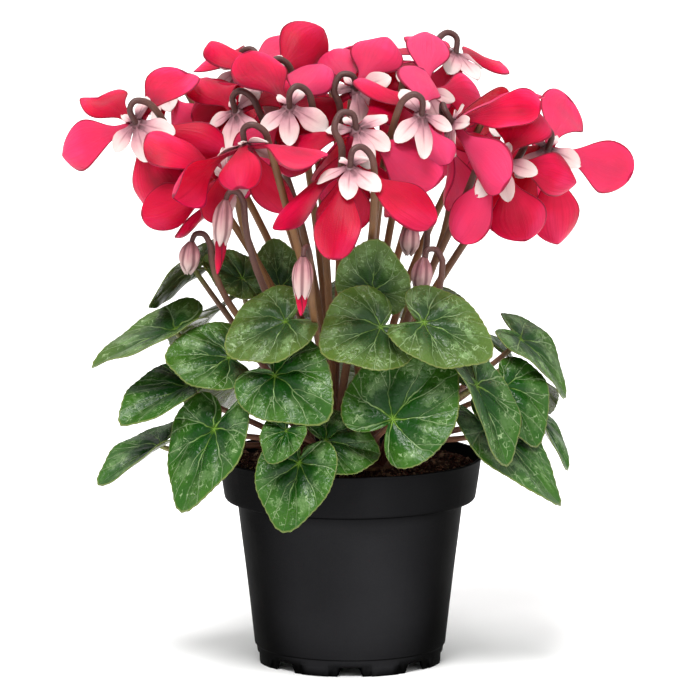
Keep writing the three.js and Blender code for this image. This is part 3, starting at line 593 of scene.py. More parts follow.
def cork():
    material, tree, blotch, grain = newFinish("corkySkin", 180.0, 1400.0, Roughness=0.9,
                                              Specular_IOR_Level=0.25)
    colour = ramped(tree, blotch, {0.3: "3c2619", 0.5: "6b4a34", 0.7: "8a6446"})
    return finishWith(material, colour, grain, 0.6, 0.001)


def makeTuber():
    finish = cork()
    disc = spun(tuber["outline"], tuber["turns"], tuberShift)
    dress(closedMesh("tuberDisc", heapRound(newPile(), disc), finish), "tuber", "tuber")
    eyes = newPile()
    for x, y in ((-1, -1), (-1, 1), (1, -1), (1, 1)):
        heapRound(eyes, spun(tuber["knob"], tuber["knobTurns"]) + np.array([x, y, 0]) * tuber["eyes"])
    dress(closedMesh("crownEyes", eyes, finish), "tuber", *[f"flower_stalks_{bunch}" for bunch in bunches])


makeSoil()
makeTuber()
print("the soil and the tuber are made")


# Where the blooms are: the calyx's place, the bearing and height that it faces (bearing -90 is the front),
# how far it is spun, how far its petals hang below the usual, its size, and the bunch that its stalk is in.
blooms = [
    ((0, -80, 253.5), (-90, 60), 25, 0, 1.1, "left_front"),
    ((3, -58, 269), (-88, 46), 34, 6, 1.08, "right_front"),
    ((-103, -25, 268), (-112, 30), 20, 0, 1.04, "left_front"),
    ((36, 2, 281), (-80, 28), 0, 0, 1, "right_back"),
    ((73, -37, 251), (-98, 26), 14, 8, 1, "right_front"),
    ((96, 2, 252), (-80, 34), 12, 0, 1.1, "right_back"),
    ((-39, 2, 286), (-90, 33), 20, 0, 1, "left_back"),
    ((-29, -45, 278), (-85, 34), 20, 0, 1, "left_front"),
    ((50, -26, 268), (-168, 24), 20, 14, 1.1, "right_front"),
    ((-50, -62, 262), (110, 62), 0, 12, 1, "left_front"),
    ((34, -50, 275), (-70, 36), -25, 8, 0.95, "right_front"),
    ((-55, -20, 273), (-122, 34), 15, 0, 1, "left_front"),
    ((3, -14, 283), (-90, 34), 30, 6, 1, "right_front"),
    ((52, 45, 294), (-35, 62), 0, 0, 1, "right_back"),
    ((-53, 32, 288), (-120, 50), 30, 0, 1, "left_back"),
    ((-60, -44, 243), (-40, 2), 20, 8, 1, "left_front"),
    ((77, 38, 264), (-30, 52), 0, 0, 1, "right_back"),
    ((-89, 42, 275), (-165, 52), 0, 0, 1, "left_back"),
    ((-21, 62, 284), (100, 50), 0, 0, 1, "left_back"),
    ((14, 76, 286), (75, 48), 25, 0, 1, "right_back"),
    ((-64, 80, 256), (128, 32), -20, 0, 1, "left_back"),
    ((58, 84, 253), (58, 32), 15, 0, 1, "right_back"),
]
bloomNodes = [f"bloom_{index + 1:02d}" for index in range(len(blooms))]
fifth = 72  # degrees from a petal or sepal to the next

# The buds: where one hangs from, the bearing that its hook turns to, its length, how far its red tip shows.
buds = [
    ((-76, -34, 212), 195, 15, 0, "left_front"),
    ((-59, -62, 236), 200, 21, 15, "left_front"),
    ((-22, -92, 213), 250, 19, 9, "left_front"),
    ((36, -46, 206), 200, 17, 0, "right_front"),
    ((30, -34, 220), 215, 14, 0, "right_front"),
]

# A stalk's hook: its gate is the gap between two petals beside the calyx. Its points are a share of the
# gate's turn from the top, a distance from the bloom's axis and one out of the calyx's face.
stalk = {
    "radius": 2.0, "hookRadius": 1.45, "budRadius": 1.25, "sides": 12, "eye": 6.5, "spread": 0.06,
    "usualTurn": 115, "gate": (11.5, -1.5), "approach": 17, "lean": -0.45, "risePoints": 18, "hookPoints": 5,
    "over": [(0.74, 11, 4), (0.44, 8.8, 7.4), (0.16, 4.6, 6.6), (0, 0, 0.5)],
    "budShoulder": (-9, -2), "budOver": [(-6, 3.2), (-1.6, 3.6), (0.4, 0)],
}


def bloomFrame(bloom):  # out is the way that the calyx faces, and top leads away from the crown
    out = wayOf(*[radians(turn) for turn in bloom[1]])
    centre = np.array(bloom[0], float)
    down = unit(crown - centre)
    top = -acrossAxis(down, out)
    side = np.cross(out, top)
    return {"centre": centre, "out": out, "top": top, "down": down, "side": side,
            "hand": 1 if side[0] * centre[0] < 0 else -1}


def inBloom(at, turn, radius, height):
    return (at["centre"] + at["top"] * radius * cos(turn) + at["side"] * radius * sin(turn)
            + at["out"] * height)


def gateTurn(spin, hand):
    gaps = [(hand * (fifth * (i + 0.5) + spin) + 180) % 360 - 180 for i in range(5)]
    return hand * radians(min(gaps, key=lambda gap: abs(gap - stalk["usualTurn"])))


def stemOf(line, thick, thin):
    share = np.linspace(0, 1, len(line))
    age = 1 + 0.3 * sin(line[-1][0] + 2 * line[-1][1])  # how far up the colour of its foot reaches
    return line, thick + (thin - thick) * share, share ** age


def hookedStem(bunch, target, end, heading, over, thin):  # from the bunch's eye up to the end, then over
    root = np.array([stalk["eye"] * (-1 if bunch.startswith("left") else 1),
                     stalk["eye"] * (-1 if bunch.endswith("front") else 1), stemStart])
    root[:2] += stalk["spread"] * target[:2]
    reach = np.linalg.norm(end - root) / 3
    rise = bezierLine(root, root + up * reach, end - heading * reach, end, stalk["risePoints"])
    hook = throughPoints([end, *over], stalk["hookPoints"])
    return stemOf(np.vstack([rise, hook[1:]]), stalk["radius"], thin)


def flowerStalk(bloom):
    at = bloomFrame(bloom)
    turn = gateTurn(bloom[2], at["hand"])
    gate = inBloom(at, turn, *stalk["gate"])
    approach = gate + unit(at["down"] + stalk["lean"] * at["out"]) * stalk["approach"]
    over = [inBloom(at, turn * share, radius, height) for share, radius, height in stalk["over"]]
    return hookedStem(bloom[5], at["centre"], approach, unit(gate - approach), [gate, *over],
                      stalk["hookRadius"])


def besideBud(one, place):
    return np.array(one[0], float) + wayOf(radians(one[1])) * place[0] + up * place[1]


def budStalk(one):
    return hookedStem(one[4], np.array(one[0], float), besideBud(one, stalk["budShoulder"]), up,
                      [besideBud(one, place) for place in stalk["budOver"]], stalk["budRadius"])


# Blades: a sheet with an upper and an under face and a wall round its border, where rows and columns of
# points give its middle surface. The last row may draw together at a tip.
def bladeGrid(shape):  # shares along the blade and across it, closer together near its border
    knee, body = shape["knee"]
    tip = np.linspace(0, pi / 2, shape["rows"] - body)
    u = np.concatenate([np.linspace(0, knee, body, endpoint=False), knee + (1 - knee) * np.sin(tip)])[:, None]
    return u, np.sin(np.linspace(-1, 1, shape["columns"]) * pi / 2)[None, :]


def bladeShell(pile, grid, normals, half, u, v, **values):
    rows, columns = grid.shape[:2]
    count = rows * columns
    upper = (grid + normals * half[..., None]).reshape(-1, 3)
    under = (grid - normals * half[..., None]).reshape(-1, 3)
    here = np.arange(count).reshape(rows, columns)
    quads = np.stack([here[:-1, :-1], here[1:, :-1], here[1:, 1:], here[:-1, 1:]], axis=-1).reshape(-1, 4)
    rim = np.concatenate([here[:, 0], here[-1, 1:], here[-2::-1, -1], here[0, -2:0:-1]])
    wall = np.stack([rim, count + rim, count + np.roll(rim, -1), np.roll(rim, -1)], axis=-1)
    uv = np.stack(np.broadcast_arrays(u, (v + 1) / 2), axis=-1).reshape(-1, 2)
    flat = {label: np.tile(np.broadcast_to(number, (rows, columns)).ravel(), 2)
            for label, number in values.items()}
    heap(pile, np.vstack([upper, under]), np.vstack([quads, count + quads[:, [0, 3, 2, 1]], wall]).tolist(),
         list(uv) * 2, under=np.repeat([0.0, 1.0], count), **flat)


petal = {"length": 41, "start": 3.6, "sink": -1.2, "claw": 2.6, "width": 13.4, "opens": (0.12, 0.66),
         "fullest": 0.65, "rise": 10, "bend": 30, "thickness": 0.7, "rows": 28, "columns": 17,
         "knee": (0.65, 17), "thinning": 0.55, "cadRows": [0.28, 0.55, 0.8],
         "groove": (0.4, 0.16), "uneven": (0.035, 6.5, 1.9), "sway": (2.5, 4.6, 2.1),
         "drape": (2.0, 5.2, 1.3), "frill": (0.8, 9.5, 1.7), "roll": (2.0, 2.6, 2.3),
         "variety": [(0, 11, 2.1, 1.7), (14, 20, 1.9, 1.3), (0, 14, 1.3, 0.9), (0.93, 0.14, 2.3, 1.9),
                     (0.24, 0.2, 1.7, 2.1)]}  # of its sag, twist, curl, breadth and hollow
sepal = {"length": 16.4, "start": 2.2, "sink": 0.5, "claw": 2.1, "width": 4.6, "opens": (0.05, 0.5),
         "fullest": 0.42, "rise": 2, "bend": 26, "thickness": 0.7, "rows": 14, "columns": 9,
         "knee": (0.6, 9), "thinning": 0.5, "sizes": [0.48, 0.85, 1.12, 1.12, 0.95],
         "swings": [0, -10, 16, 0, -13], "gap": 111, "cup": 0.3, "groove": (0.35, 0.2),
         "curl": (0.55, 5, 1.9), "wave": (0.3, 8, 2.7),
         "variety": [(1, 0.08, 3.1, 1.7), (0, 5, 2.6, 2.2), (0, 18, 2.3, 1), (0, 12, 1.7, 2.9),
                     (1, -0.1, 1.3, 1)]}  # of its size, swing, twist, curl and breadth


def varied(shape, i, index):  # each as usual and up to so much off it, by a step for i and one for the bloom
    return [usual + most * sin(step * i + bloomStep * index)
            for usual, most, step, bloomStep in shape["variety"]]


def waved(shape, kind, place, seed, apart=0.0):  # a wave has a height, a pace and a step for the seed
    height, pace, step = shape[kind]
    return height * np.sin(pace * place + step * seed + apart)


def grooved(shape, v):  # a groove along the middle has a depth and a width
    depth, width = shape["groove"]
    return -depth * np.exp(-(v / width) ** 2)


def petalRound(past):
    return np.sqrt(1 - past ** 2)


def sepalRound(past):
    return np.clip(1 - past ** 2.4, 0, 1) ** 0.6


def bladeHalf(shape, u, breadth, roundOf):
    opening = smoothStep(u, *shape["opens"])
    past = np.maximum(u - shape["fullest"], 0) / (1 - shape["fullest"])
    return (shape["claw"] + (shape["width"] * breadth - shape["claw"]) * opening) * roundOf(past)


def petalSheet(shape, at, angle, way, u, v, roundOf):
    size, lift, swing, twist, curl, breadth, hollow = way
    turn = angle + swing
    outward = at["top"] * cos(turn) + at["side"] * sin(turn)
    lateral = np.cross(at["out"], outward)
    start = radians(shape["rise"]) - lift
    bend = radians(shape["bend"]) + curl
    arc = shape["length"] * size / bend
    u, v = np.broadcast_arrays(u, v)
    slope = (start + bend * u)[..., None]
    reach = shape["start"] + arc * (np.sin(slope) - sin(start))
    level = shape["sink"] - arc * (cos(start) - np.cos(slope))
    middle = at["centre"] + outward * reach + at["out"] * level
    upward = at["out"] * np.cos(slope) + outward * np.sin(slope)
    lean = (twist * smoothStep(u, 0.1, 0.8))[..., None]
    normal = upward * np.cos(lean) - lateral * np.sin(lean)
    wide = lateral * np.cos(lean) + upward * np.sin(lean)
    half = (bladeHalf(shape, u, breadth, roundOf) * size)[..., None]
    w = v[..., None]
    return middle + wide * half * w - normal * hollow * half * w * w, normal


# Each petal has taken the way that its CAD node took to keep clear of the others: its size, lift and swing.
petalTries = [(size, radians(lift), radians(swing)) for size in (1, 0.9, 0.8, 0.7, 0.6, 0.5)
              for lift in (0, -10, 8, -20, 16, -32, 26, -45, -60) for swing in (0, 11, -11, 22, -22)]
petalMiss = 0.3  # a petal that lies farther off its node isn't there


def petalWay(index, bloom, i, tried):
    size, lift, swing = tried
    sag, twist, curl, breadth, hollow = varied(petal, i, index)
    return (size * bloom[4], lift - radians(bloom[3] + sag), swing, radians(twist), radians(curl), breadth,
            hollow)


def nearest(ways, pointsOf, corners):  # the way whose points lie closest to a node's corners, and how close
    misses = [missBy(pointsOf(way), corners) for way in ways]
    least = min(misses)
    return ways[misses.index(least)], least


def findPetalWay(index, bloom, i, at, corners):
    u = np.append(np.repeat(petal["cadRows"], 3), 1.0)
    v = np.array([-1, 0, 1] * len(petal["cadRows"]) + [0], float)

    def pointsOf(way):
        points, normal = petalSheet(petal, at, radians(fifth * i + bloom[2]), way, u, v, petalRound)
        return points + normal * petal["thickness"] / 2
    return nearest([petalWay(index, bloom, i, tried) for tried in petalTries], pointsOf, corners)


def wavedPetal(pile, at, angle, way, tone, seed):
    u, v = bladeGrid(petal)
    hand = np.sign(v)  # the two halves of a petal wave apart from each other
    uneven = v * (1 + waved(petal, "uneven", u, seed, 1.4 * hand) * u)
    grid, normals = petalSheet(petal, at, angle, way, u, uneven, petalRound)
    fold = grooved(petal, v) * np.sin(pi * np.clip(u, 0, 1)) ** 0.7
    sway = waved(petal, "sway", u, seed) * u * v * np.abs(v)
    drape = waved(petal, "drape", u, seed) * u * v * v
    frill = waved(petal, "frill", u, seed, 2.5 * hand) * np.abs(v) ** 3 * u
    roll = waved(petal, "roll", v, seed) * smoothStep(u, 0.4, 0.9)
    wave = bladeHalf(petal, u, 1, petalRound) / petal["width"] * (fold + sway + drape + frill + roll)
    rim = np.maximum(np.abs(v) ** 8, smoothStep(u, 0.9, 1.0)) * np.ones_like(u)
    half = petal["thickness"] / 2 * (1 - petal["thinning"] * rim)
    # crest, the height of the waves, is kept for painted light on their crests and painted shade in their
    # hollows
    bladeShell(pile, grid + normals * wave[..., None], normals, half, u, v, tone=tone, crest=wave / 3)


def petalSkin():
    material, tree, blotch, grain = newFinish("petalSkin", 42.0, 1800.0, (0.45, 0.006, 0.0008, 0.0014),
                                              Specular_IOR_Level=0.11)
    along, across, _ = parted(tree, bladeMap(tree))
    tone, under = pointValue(tree, "tone"), pointValue(tree, "under")
    stretched = joined(tree, X=times(tree, along, 1.4), Y=times(tree, across, 22.0), Z=times(tree, tone, 9.0))
    veins = noisy(tree, stretched, 1.0, 3.0, 0.6)
    wander = times(tree, less(tree, blotch, 0.5), 1.1)
    facing = less(tree, 1.0, times(tree, under, 2.0))
    # Painted light and shade: each face is lighter where the waves rise towards it and darker where they fall
    # away.
    folded = times(tree, pointValue(tree, "crest"), facing, 0.45)
    depth = plus(tree, plus(tree, along, wander), folded)
    upper = ramped(tree, depth, {0.0: "64041c", 0.25: "9c042c", 0.48: "c8043a", 0.72: "e8104a",
                                 1.0: "f4306a"})
    lower = ramped(tree, depth, {0.0: "8c0c2a", 0.25: "ba062e", 0.55: "dc0c3c", 1.0: "f02658"})
    side = sums(tree, "ABSOLUTE", less(tree, across, 0.5))
    rim = sums(tree, "MAXIMUM", between(tree, side, 0.455, 0.485), between(tree, along, 0.965, 0.985))
    colour = mixed(tree, under, upper, lower)
    # The pinker and deeper reds follow the tone, so they are partly painted light and partly painted shade.
    for factor, code in ((between(tree, veins, 0.42, 0.75, 0.0, 0.45), "a60432"),
                         (between(tree, tone, 0.5, 0.95, 0.0, 0.7), "f84c7e"),
                         (between(tree, tone, 0.0, 0.45, 0.6, 0.0), "ae0028"),
                         (times(tree, rim, 0.9), "70102a")):
        colour = mixed(tree, factor, colour, code)
    return finishWith(material, colour, plus(tree, veins, times(tree, grain, 0.3)), 0.4, 0.0008,
                      between(tree, blotch, 0.3, 0.7, 0.38, 0.5))


def sepalSkin():
    material, tree, blotch, _ = newFinish("sepalSkin", 120.0, 1800.0, (0.1, 0.002, 0.0012, 0.001),
                                          Roughness=0.55, Specular_IOR_Level=0.3)
    along, across, _ = parted(tree, bladeMap(tree))
    shut = pointValue(tree, "shut")  # a closed bud, with painted shade in the valleys between its sepals
    depth = plus(tree, along, times(tree, less(tree, blotch, 0.5), 0.5))
    off = sums(tree, "ABSOLUTE", less(tree, across, 0.5))
    flush = times(tree, between(tree, off, 0.0, 0.14, 1.0, 0.0), between(tree, along, 0.3, 0.8, 0.6, 0))
    spine = times(tree, between(tree, off, 0.01, 0.06, 1.0, 0.0), between(tree, along, 0.2, 0.8, 0.5, 0))
    fine = noisy(tree, joined(tree, X=along, Y=times(tree, across, 14.0)), 1.5, 2.0)
    colour = ramped(tree, depth, {0.0: "542c32", 0.13: "86525c", 0.28: "cc909a", 0.46: "eababc",
                                  0.7: "f6d8d4", 1.0: "faeae6"})
    for factor, code in ((times(tree, shut, 0.4), "b0746c"), (flush, "c88892"),
                         (between(tree, fine, 0.5, 0.75, 0.0, 0.4), "d6a0a8"), (spine, "6e3c46"),
                         # painted shade, darkening a closed bud's sepals towards the valleys between them
                         (times(tree, between(tree, off, 0.28, 0.5, 0.0, 0.8), shut), "744048")):
        colour = mixed(tree, factor, colour, code)
    return finishWith(material, colour, less(tree, fine, spine), 0.4, 0.0005)


throat = {  # radius, and distance out of the calyx's face, from the calyx round the mouth to the anthers' tip
    "outline": [(0, 1.1), (1.6, 0.9), (2.6, 0.2), (3.3, -0.5), (3.85, -1.3), (3.8, -2.4), (3.5, -3.6),
                (3.3, -3.9), (3.0, -3.7), (2.7, -2.6), (1.7, -2.2), (1.3, -3.2), (1.05, -4.6), (0.5, -6.2),
                (0.25, -7.0), (0, -7.1)],
    "turns": 20,
    "stops": {0.0: "5c3034", 0.16: "8a5660", 0.3: "9a1838", 0.5: "5a0c24", 0.8: "7a2030", 1.0: "b8804a"},
}


def heapThroat(pile, at):
    grid = spun(throat["outline"], throat["turns"],
                lambda p: at["centre"] + at["top"] * p[0] + at["side"] * p[1] + at["out"] * p[2])
    heapRound(pile, grid, depth=np.tile(np.linspace(0, 1, len(throat["outline"])), throat["turns"]))


def ringSepals(pile, at, turn, index):  # they spread like a skirt, and the stalk passes between two of them
    u, v = bladeGrid(sepal)
    hand = at["hand"]
    for i in range(5):
        k = i if hand > 0 else (5 - i) % 5
        angle = radians(fifth * i - hand * sepal["gap"]) + turn
        size, swing, twist, curl, breadth = varied(sepal, i, index)
        way = (sepal["sizes"][k] * size, 0, hand * radians(sepal["swings"][k] + swing), radians(twist),
               radians(curl), breadth, 0)
        grid, normals = petalSheet(sepal, at, angle, way, u, v, sepalRound)
        crease = sepal["cup"] * v * v * u + grooved(sepal, v) * np.sin(pi * u)
        curl = waved(sepal, "curl", u, i, index) * v * u + waved(sepal, "wave", u, i) * v * v
        half = sepal["thickness"] / 2 * (1 - sepal["thinning"] * np.abs(v) ** 6) * np.ones_like(u)
        bladeShell(pile, grid + normals * (crease + curl)[..., None], normals, half, u, v)


def petalTone(place, index, i):  # each petal's own tone, plus painted light and shade: the blooms high on the right are pinker, the low ones deeper
    return (0.45 + 0.35 * sin(2.7 * index + 1.9 * i) + 0.35 * float(smoothStep(place[0], 15, 60))
            - 0.3 * float(smoothStep(-place[2], -270, -252)))


def makeBlooms(finish):
    mouths = newPile()
    calyxes = {bunch: newPile() for bunch in bunches}
    farthest, missing = 0.0, []
    for index, bloom in enumerate(blooms):
        at = bloomFrame(bloom)
        corners = nodePoints(bloomNodes[index])
        pile = newPile()
        for i in range(5):
            way, miss = findPetalWay(index, bloom, i, at, corners)
            if miss < petalMiss:
                farthest = max(farthest, miss)
                wavedPetal(pile, at, radians(fifth * i + bloom[2]), way, petalTone(bloom[0], index, i),
                           index + 1.3 * i)
            else:
                missing.append((bloomNodes[index], i))
        dress(closedMesh(f"petals_{index + 1:02d}", pile, finish), "petal", bloomNodes[index])
        heapThroat(mouths, at)
        ringSepals(calyxes[bloom[5]], at, gateTurn(bloom[2], at["hand"]), index)
    print("the petals lie on their nodes within", round(farthest, 3), "mm; left out:", missing)
    throatSkin = stemSkin("throatSkin", (150.0, 1800.0), "depth", throat["stops"],
                          ("grain", 0.5, 0.8, 0.3, "3c0a18"))
    dress(closedMesh("throats", mouths, throatSkin), "petal", *bloomNodes)
    return calyxes


bud = {"closed": [(0, 1.5), (0.08, 2.6), (0.2, 3.9), (0.4, 4.75), (0.6, 4.9), (0.78, 4.3), (0.92, 2.7),
                  (1, 1.3)],
       "open": [(0, 1.5), (0.08, 2.6), (0.2, 3.9), (0.4, 4.6), (0.6, 4.8), (0.8, 4.3), (0.95, 3.4), (1, 2.7)],
       "tip": [(0, 2.3), (0.25, 2.8), (0.6, 2.3), (0.85, 1.3), (1, 0.3)],
       "turns": 40, "rows": 26, "folds": 5, "pleat": 0.13, "twist": 0.5, "lobe": 1.3, "lean": 0.12,
       "tipFrom": 0.78, "tipFolds": 3, "tipPleat": 0.16, "tipTwist": 3.5}


def budBody(pile, top, axis, length, radii, folds, depth, twist, lobe, **values):
    side = unit(np.cross(axis, up + 0.3))
    other = np.cross(axis, side)
    turns, shares = bud["turns"], np.linspace(0, 1, bud["rows"])
    smooth = np.pad(np.interp(shares, *zip(*radii)), 1, mode="edge")
    rounded = np.convolve(smooth, [0.25, 0.5, 0.25], mode="valid")
    points, uv = [], []
    for angle in np.arange(turns) * 2 * pi / turns:
        ray = side * cos(angle) + other * sin(angle)
        for share, radius in zip(shares, rounded):
            pleat = cos(folds * angle + twist * share)
            folded = radius * (1 + depth * sin(pi * min(1, share * 1.4)) * pleat)
            point = lobe * pleat * max(0.0, share - 0.7) / 0.3
            points.append(top + axis * (length * share + point) + ray * folded)
            uv.append((share, 0.25 + 0.25 * pleat))
    here = np.arange(turns * len(shares)).reshape(turns, -1)
    after, first = np.roll(here, -1, axis=0), here.size
    faces = (roundFaces(turns, len(shares)) + [(first, b, a) for a, b in zip(here[:, 0], after[:, 0])]
             + [(first + 1, a, b) for a, b in zip(here[:, -1], after[:, -1])])
    points.extend([top, top + axis * length])
    uv.extend([(0, 0.5), (1, 0.5)])
    heap(pile, points, faces, uv, **{label: [number] * len(points) for label, number in values.items()})


def makeStalksAndBuds(calyxes, petalFinish):
    stops = {0.0: "74483a", 0.2: "9a6c42", 0.36: "8a6240", 0.5: "6c463c", 0.68: "5c3836", 1.0: "54302f"}
    skin = stemSkin("stalkSkin", (90.0, 1600.0), "stemShare", stops, ("grain", 0.5, 0.8, 0.3, "a08060"), 0.25,
                    glow=(0.05, 0.002, 0.001, 0.0006), Specular_IOR_Level=0.3)
    sepalFinish = sepalSkin()
    for bunch in bunches:
        stems = [flowerStalk(bloom) for bloom in blooms if bloom[5] == bunch]
        stems += [budStalk(one) for one in buds if one[4] == bunch]
        dress(growStems(f"stalks_{bunch}", stems, stalk["sides"], skin), "stalk", f"flower_stalks_{bunch}")
        shut, tips = newPile(), newPile()
        for one in buds:
            if one[4] != bunch:
                continue
            length, tip = one[2:4]
            start = besideBud(one, stalk["budOver"][-1])
            axis = unit(wayOf(radians(one[1])) * bud["lean"] - up)
            budBody(shut, start, axis, length, bud["open" if tip else "closed"], bud["folds"], bud["pleat"],
                    bud["twist"], bud["lobe"], shut=1.0)
            if tip:
                budBody(tips, start + axis * length * bud["tipFrom"], axis,
                        tip + (1 - bud["tipFrom"]) * length, bud["tip"], bud["tipFolds"], bud["tipPleat"],
                        bud["tipTwist"], 0.0, tone=0.3, under=0.0, crest=0.0)
        for name, pile, finish in (("calyxes", calyxes[bunch], sepalFinish), ("buds", shut, sepalFinish),
                                   ("budTips", tips, petalFinish)):
            if pile["points"]:
                dress(closedMesh(f"{name}_{bunch}", pile, finish), "petal", f"flower_stalks_{bunch}")


petalFinish = petalSkin()
makeStalksAndBuds(makeBlooms(petalFinish), petalFinish)
print("the blooms, stalks and buds are made")


# Where the leaves are: the blade's place on its petiole, its tip, its width against the usual, how far its
# halves fold up, how far it droops, and for some the way that its upper side faces.
leaves = [
    ((20, -76, 132), (47, -72, 164), 0.95, 0.1, 0.1),
    ((-65, -62, 125), (-82, -76, 88), 0.85, 0.12, 0.1),
    ((-31, -66, 178), (-51, -82, 159), 1.05, 0.1, 0.1),
    ((-58, -52, 158), (-89, -50, 161), 1, 0.05, 0.1),
    ((-31, -64, 153), (-8, -86, 138), 0.95, 0.12, 0.15),
    ((-24, -82, 112), (-33, -92, 81), 0.85, 0.1, 0.05),
    ((14, -72, 176), (-13, -86, 168), 1.1, 0.08, 0.1),
    ((33, -68, 178), (66, -75, 166), 0.9, 0.1, 0.15, (0.2, -0.72, 0.66)),
    ((10, -48, 192), (21, -52, 219), 0.9, 0.12, 0.1),
    ((68, -48, 122), (102, -58, 88), 0.75, 0.15, 0.05),
    ((70, -30, 141), (88, -40, 115), 0.95, 0.12, 0.1, (0.5, -0.6, 0.5)),
    ((78, -8, 160), (104, -14, 136), 0.85, 0.12, 0.2, (0.7, -0.3, 0.65)),
    ((60, -68, 147), (77, -78, 111), 0.75, 0.3, 0.05, (0.85, -0.45, 0.3)),
    ((-12, -66, 120), (18, -82, 112), 0.95, 0.08, 0.1),
    ((-85, -22, 167), (-126, -27, 152), 0.8, 0.3, 0.1),
    ((-79, -32, 141), (-117, -34, 131), 0.8, 0.35, 0.1),
    ((-92, -28, 111), (-123, -36, 95), 0.85, 0.3, 0.05),
    ((84, 14, 146), (112, 18, 120), 0.95, 0.15, 0.15),
    ((88, -6, 124), (110, -10, 99), 0.95, 0.12, 0.1),
    ((44, -44, 164), (68, -52, 146), 0.95, 0.1, 0.1),
    ((-66, -2, 194), (-92, -8, 176), 0.95, 0.1, 0.25, (-0.4, 0.45, 0.8)),
    ((-48, -8, 190), (-67, -10, 202), 0.9, 0.2, -0.1, (0.2, -0.6, 0.7)),
    ((-34, 2, 184), (-38, 4, 208), 0.95, 0.1, 0.1, (-0.2, -0.9, 0.3)),
    ((-30, -90, 129), (-32, -97, 113), 0.9, 0.2, 0.05),
]
backLeaves = {"count": 6, "low": (74, 130, 42), "high": (56, 172, 40), "slope": 35, "start": 32, "step": 26,
              "way": (1, 0.12, 0.15)}  # low and high are the reach, height and size of every other one
for k in range(backLeaves["count"]):
    reach, height, size = backLeaves["high" if k % 2 else "low"]
    away = wayOf(radians(backLeaves["start"] + backLeaves["step"] * k))
    slope = radians(backLeaves["slope"])
    leaves.append((away * reach + up * height, away * (reach + size * cos(slope))
                   + up * (height - size * sin(slope)), *backLeaves["way"]))
leafNodes = [f"leaf_{index + 1:02d}" for index in range(len(leaves))]

leafShape = {
    "thickness": 0.9, "border": [0, 22, 44, 66, 88, 110, 132, 152, 180], "scallop": 0.025,
    "broad": (0.6, 0.24), "point": (0.16, 0.34), "notch": (0.88, 0.54),  # the heart: sizes and widths
    "turns": 176, "rings": [0.08, 0.18, 0.3, 0.42, 0.54, 0.66, 0.77, 0.86, 0.93, 0.975, 1.0], "teeth": 44,
    "tooth": 0.014, "veinStep": 0.88, "pucker": 1.1, "dome": 1.1, "thinning": 0.4, "foot": 0.4,
    "ripple": (0.045, 3, 1), "wave": (0.45, 8, 1.7), "soft": 0.1,
}
petiole = {"thick": 1.75, "thin": 1.3, "rootRadius": 25.5, "innerRoot": 17.5, "rise": 42, "lean": 0.6,
           "leave": 0.36, "arrive": 0.3, "sides": 10, "points": 24}
leafTries = [(size, push, radians(lift), radians(swing)) for size in (1, 0.9, 0.8, 0.7, 0.6)
             for lift in (0, 8, -8, 16, -16, 26, -26) for push in (0, 5, -5, 10, -10)
             for swing in (0, 13, -13, 26, -26)]
rootTries = [0, 6, -6, 12, -12, 18, -18, 24, -24, 32, -32, 40, -40, 50, -50, 60, -60]


def leafFrame(leaf, way):
    place, tip = np.array(leaf[0], float), np.array(leaf[1], float)
    size, push, lift, swing = way
    along = unit(tip - place)
    outward = unit(place * (1, 1, 0))
    hint = np.array(leaf[5], float) if len(leaf) > 5 else outward * 0.75 + up * 0.66
    face = acrossAxis(hint, along)
    side = np.cross(face, along)
    along, side = turned(along, face, swing), turned(side, face, swing)
    along, face = turned(along, side, -lift), turned(face, side, -lift)
    return {"base": place + outward * push, "along": along, "side": side, "face": face,
            "size": np.linalg.norm(tip - place) * size}


def heartReach(angle):  # from the foot of the blade to its border, and its notch is at the foot
    away = np.abs(angle)
    sides, front = leafShape["broad"]
    point, pointWidth = leafShape["point"]
    notch, notchWidth = leafShape["notch"]
    reach = sides + front * ((1 + np.cos(away)) / 2) ** 1.5 + point * np.exp(-(away / pointWidth) ** 2)
    return reach * (1 - notch * np.exp(-((pi - away) / notchWidth) ** 2))


def leafPlaces(leaf, index, at, radius, angle, ring):  # radius as a share of the leaf's length
    size = at["size"]
    x = size * radius * np.cos(angle)
    y = size * radius * np.sin(angle) * leaf[2]
    soft = leafShape["soft"] * size
    softY = np.hypot(y, soft) - soft
    wave = waved(leafShape, "ripple", angle, index) * size * ring * ring
    height = leaf[3] * softY - leaf[4] * np.maximum(x, 0) ** 2 / size + wave
    return (at["base"] + at["along"] * x[..., None] + at["side"] * y[..., None]
            + at["face"] * height[..., None]), x / size, y / size


def findLeafWay(leaf, index, corners):
    border = leafShape["border"]
    angles = np.radians(border + [-a for a in border[-2:0:-1]])
    scallop = np.where(np.arange(len(angles)) % 2, 1 - leafShape["scallop"], 1.0)

    def pointsOf(way):
        at = leafFrame(leaf, way)
        points = leafPlaces(leaf, index, at, scallop * heartReach(angles), angles, 1.0)[0]
        return points + at["face"] * leafShape["thickness"] / 2
    return nearest(leafTries, pointsOf, corners)


def petioleLine(at, corners):
    base = at["base"]
    bearing = atan2(base[1], base[0])
    climb = atan2(base[2] - crown[2], hypot(base[0], base[1]))
    reach = max(petiole["innerRoot"], petiole["rootRadius"] * cos(climb) ** 0.8)
    centre = corners[corners[:, 2] < stemStart + 0.05].mean(axis=0)  # of the foot on the node
    roots = [wayOf(bearing + radians(turn)) * reach + up * stemStart for turn in rootTries]
    root = min(roots, key=lambda place: np.linalg.norm(place - centre))
    leaving = wayOf(bearing, climb / 2 + radians(petiole["rise"]))
    span = np.linalg.norm(base - root)
    arriving = unit((base - root) / span + at["face"] * petiole["lean"])
    line = bezierLine(root, root + leaving * petiole["leave"] * span,
                      base - arriving * petiole["arrive"] * span, base, petiole["points"])
    return stemOf(line, petiole["thick"], petiole["thin"])


def veinDistance(radius, angle):  # from the nearest main vein, 0 on it and 1 half way to the next
    cell = (np.abs(angle) + 0.3 * radius * np.sin(np.abs(angle))) / leafShape["veinStep"]
    return np.abs((cell + 0.5) % 1.0 - 0.5) * 2


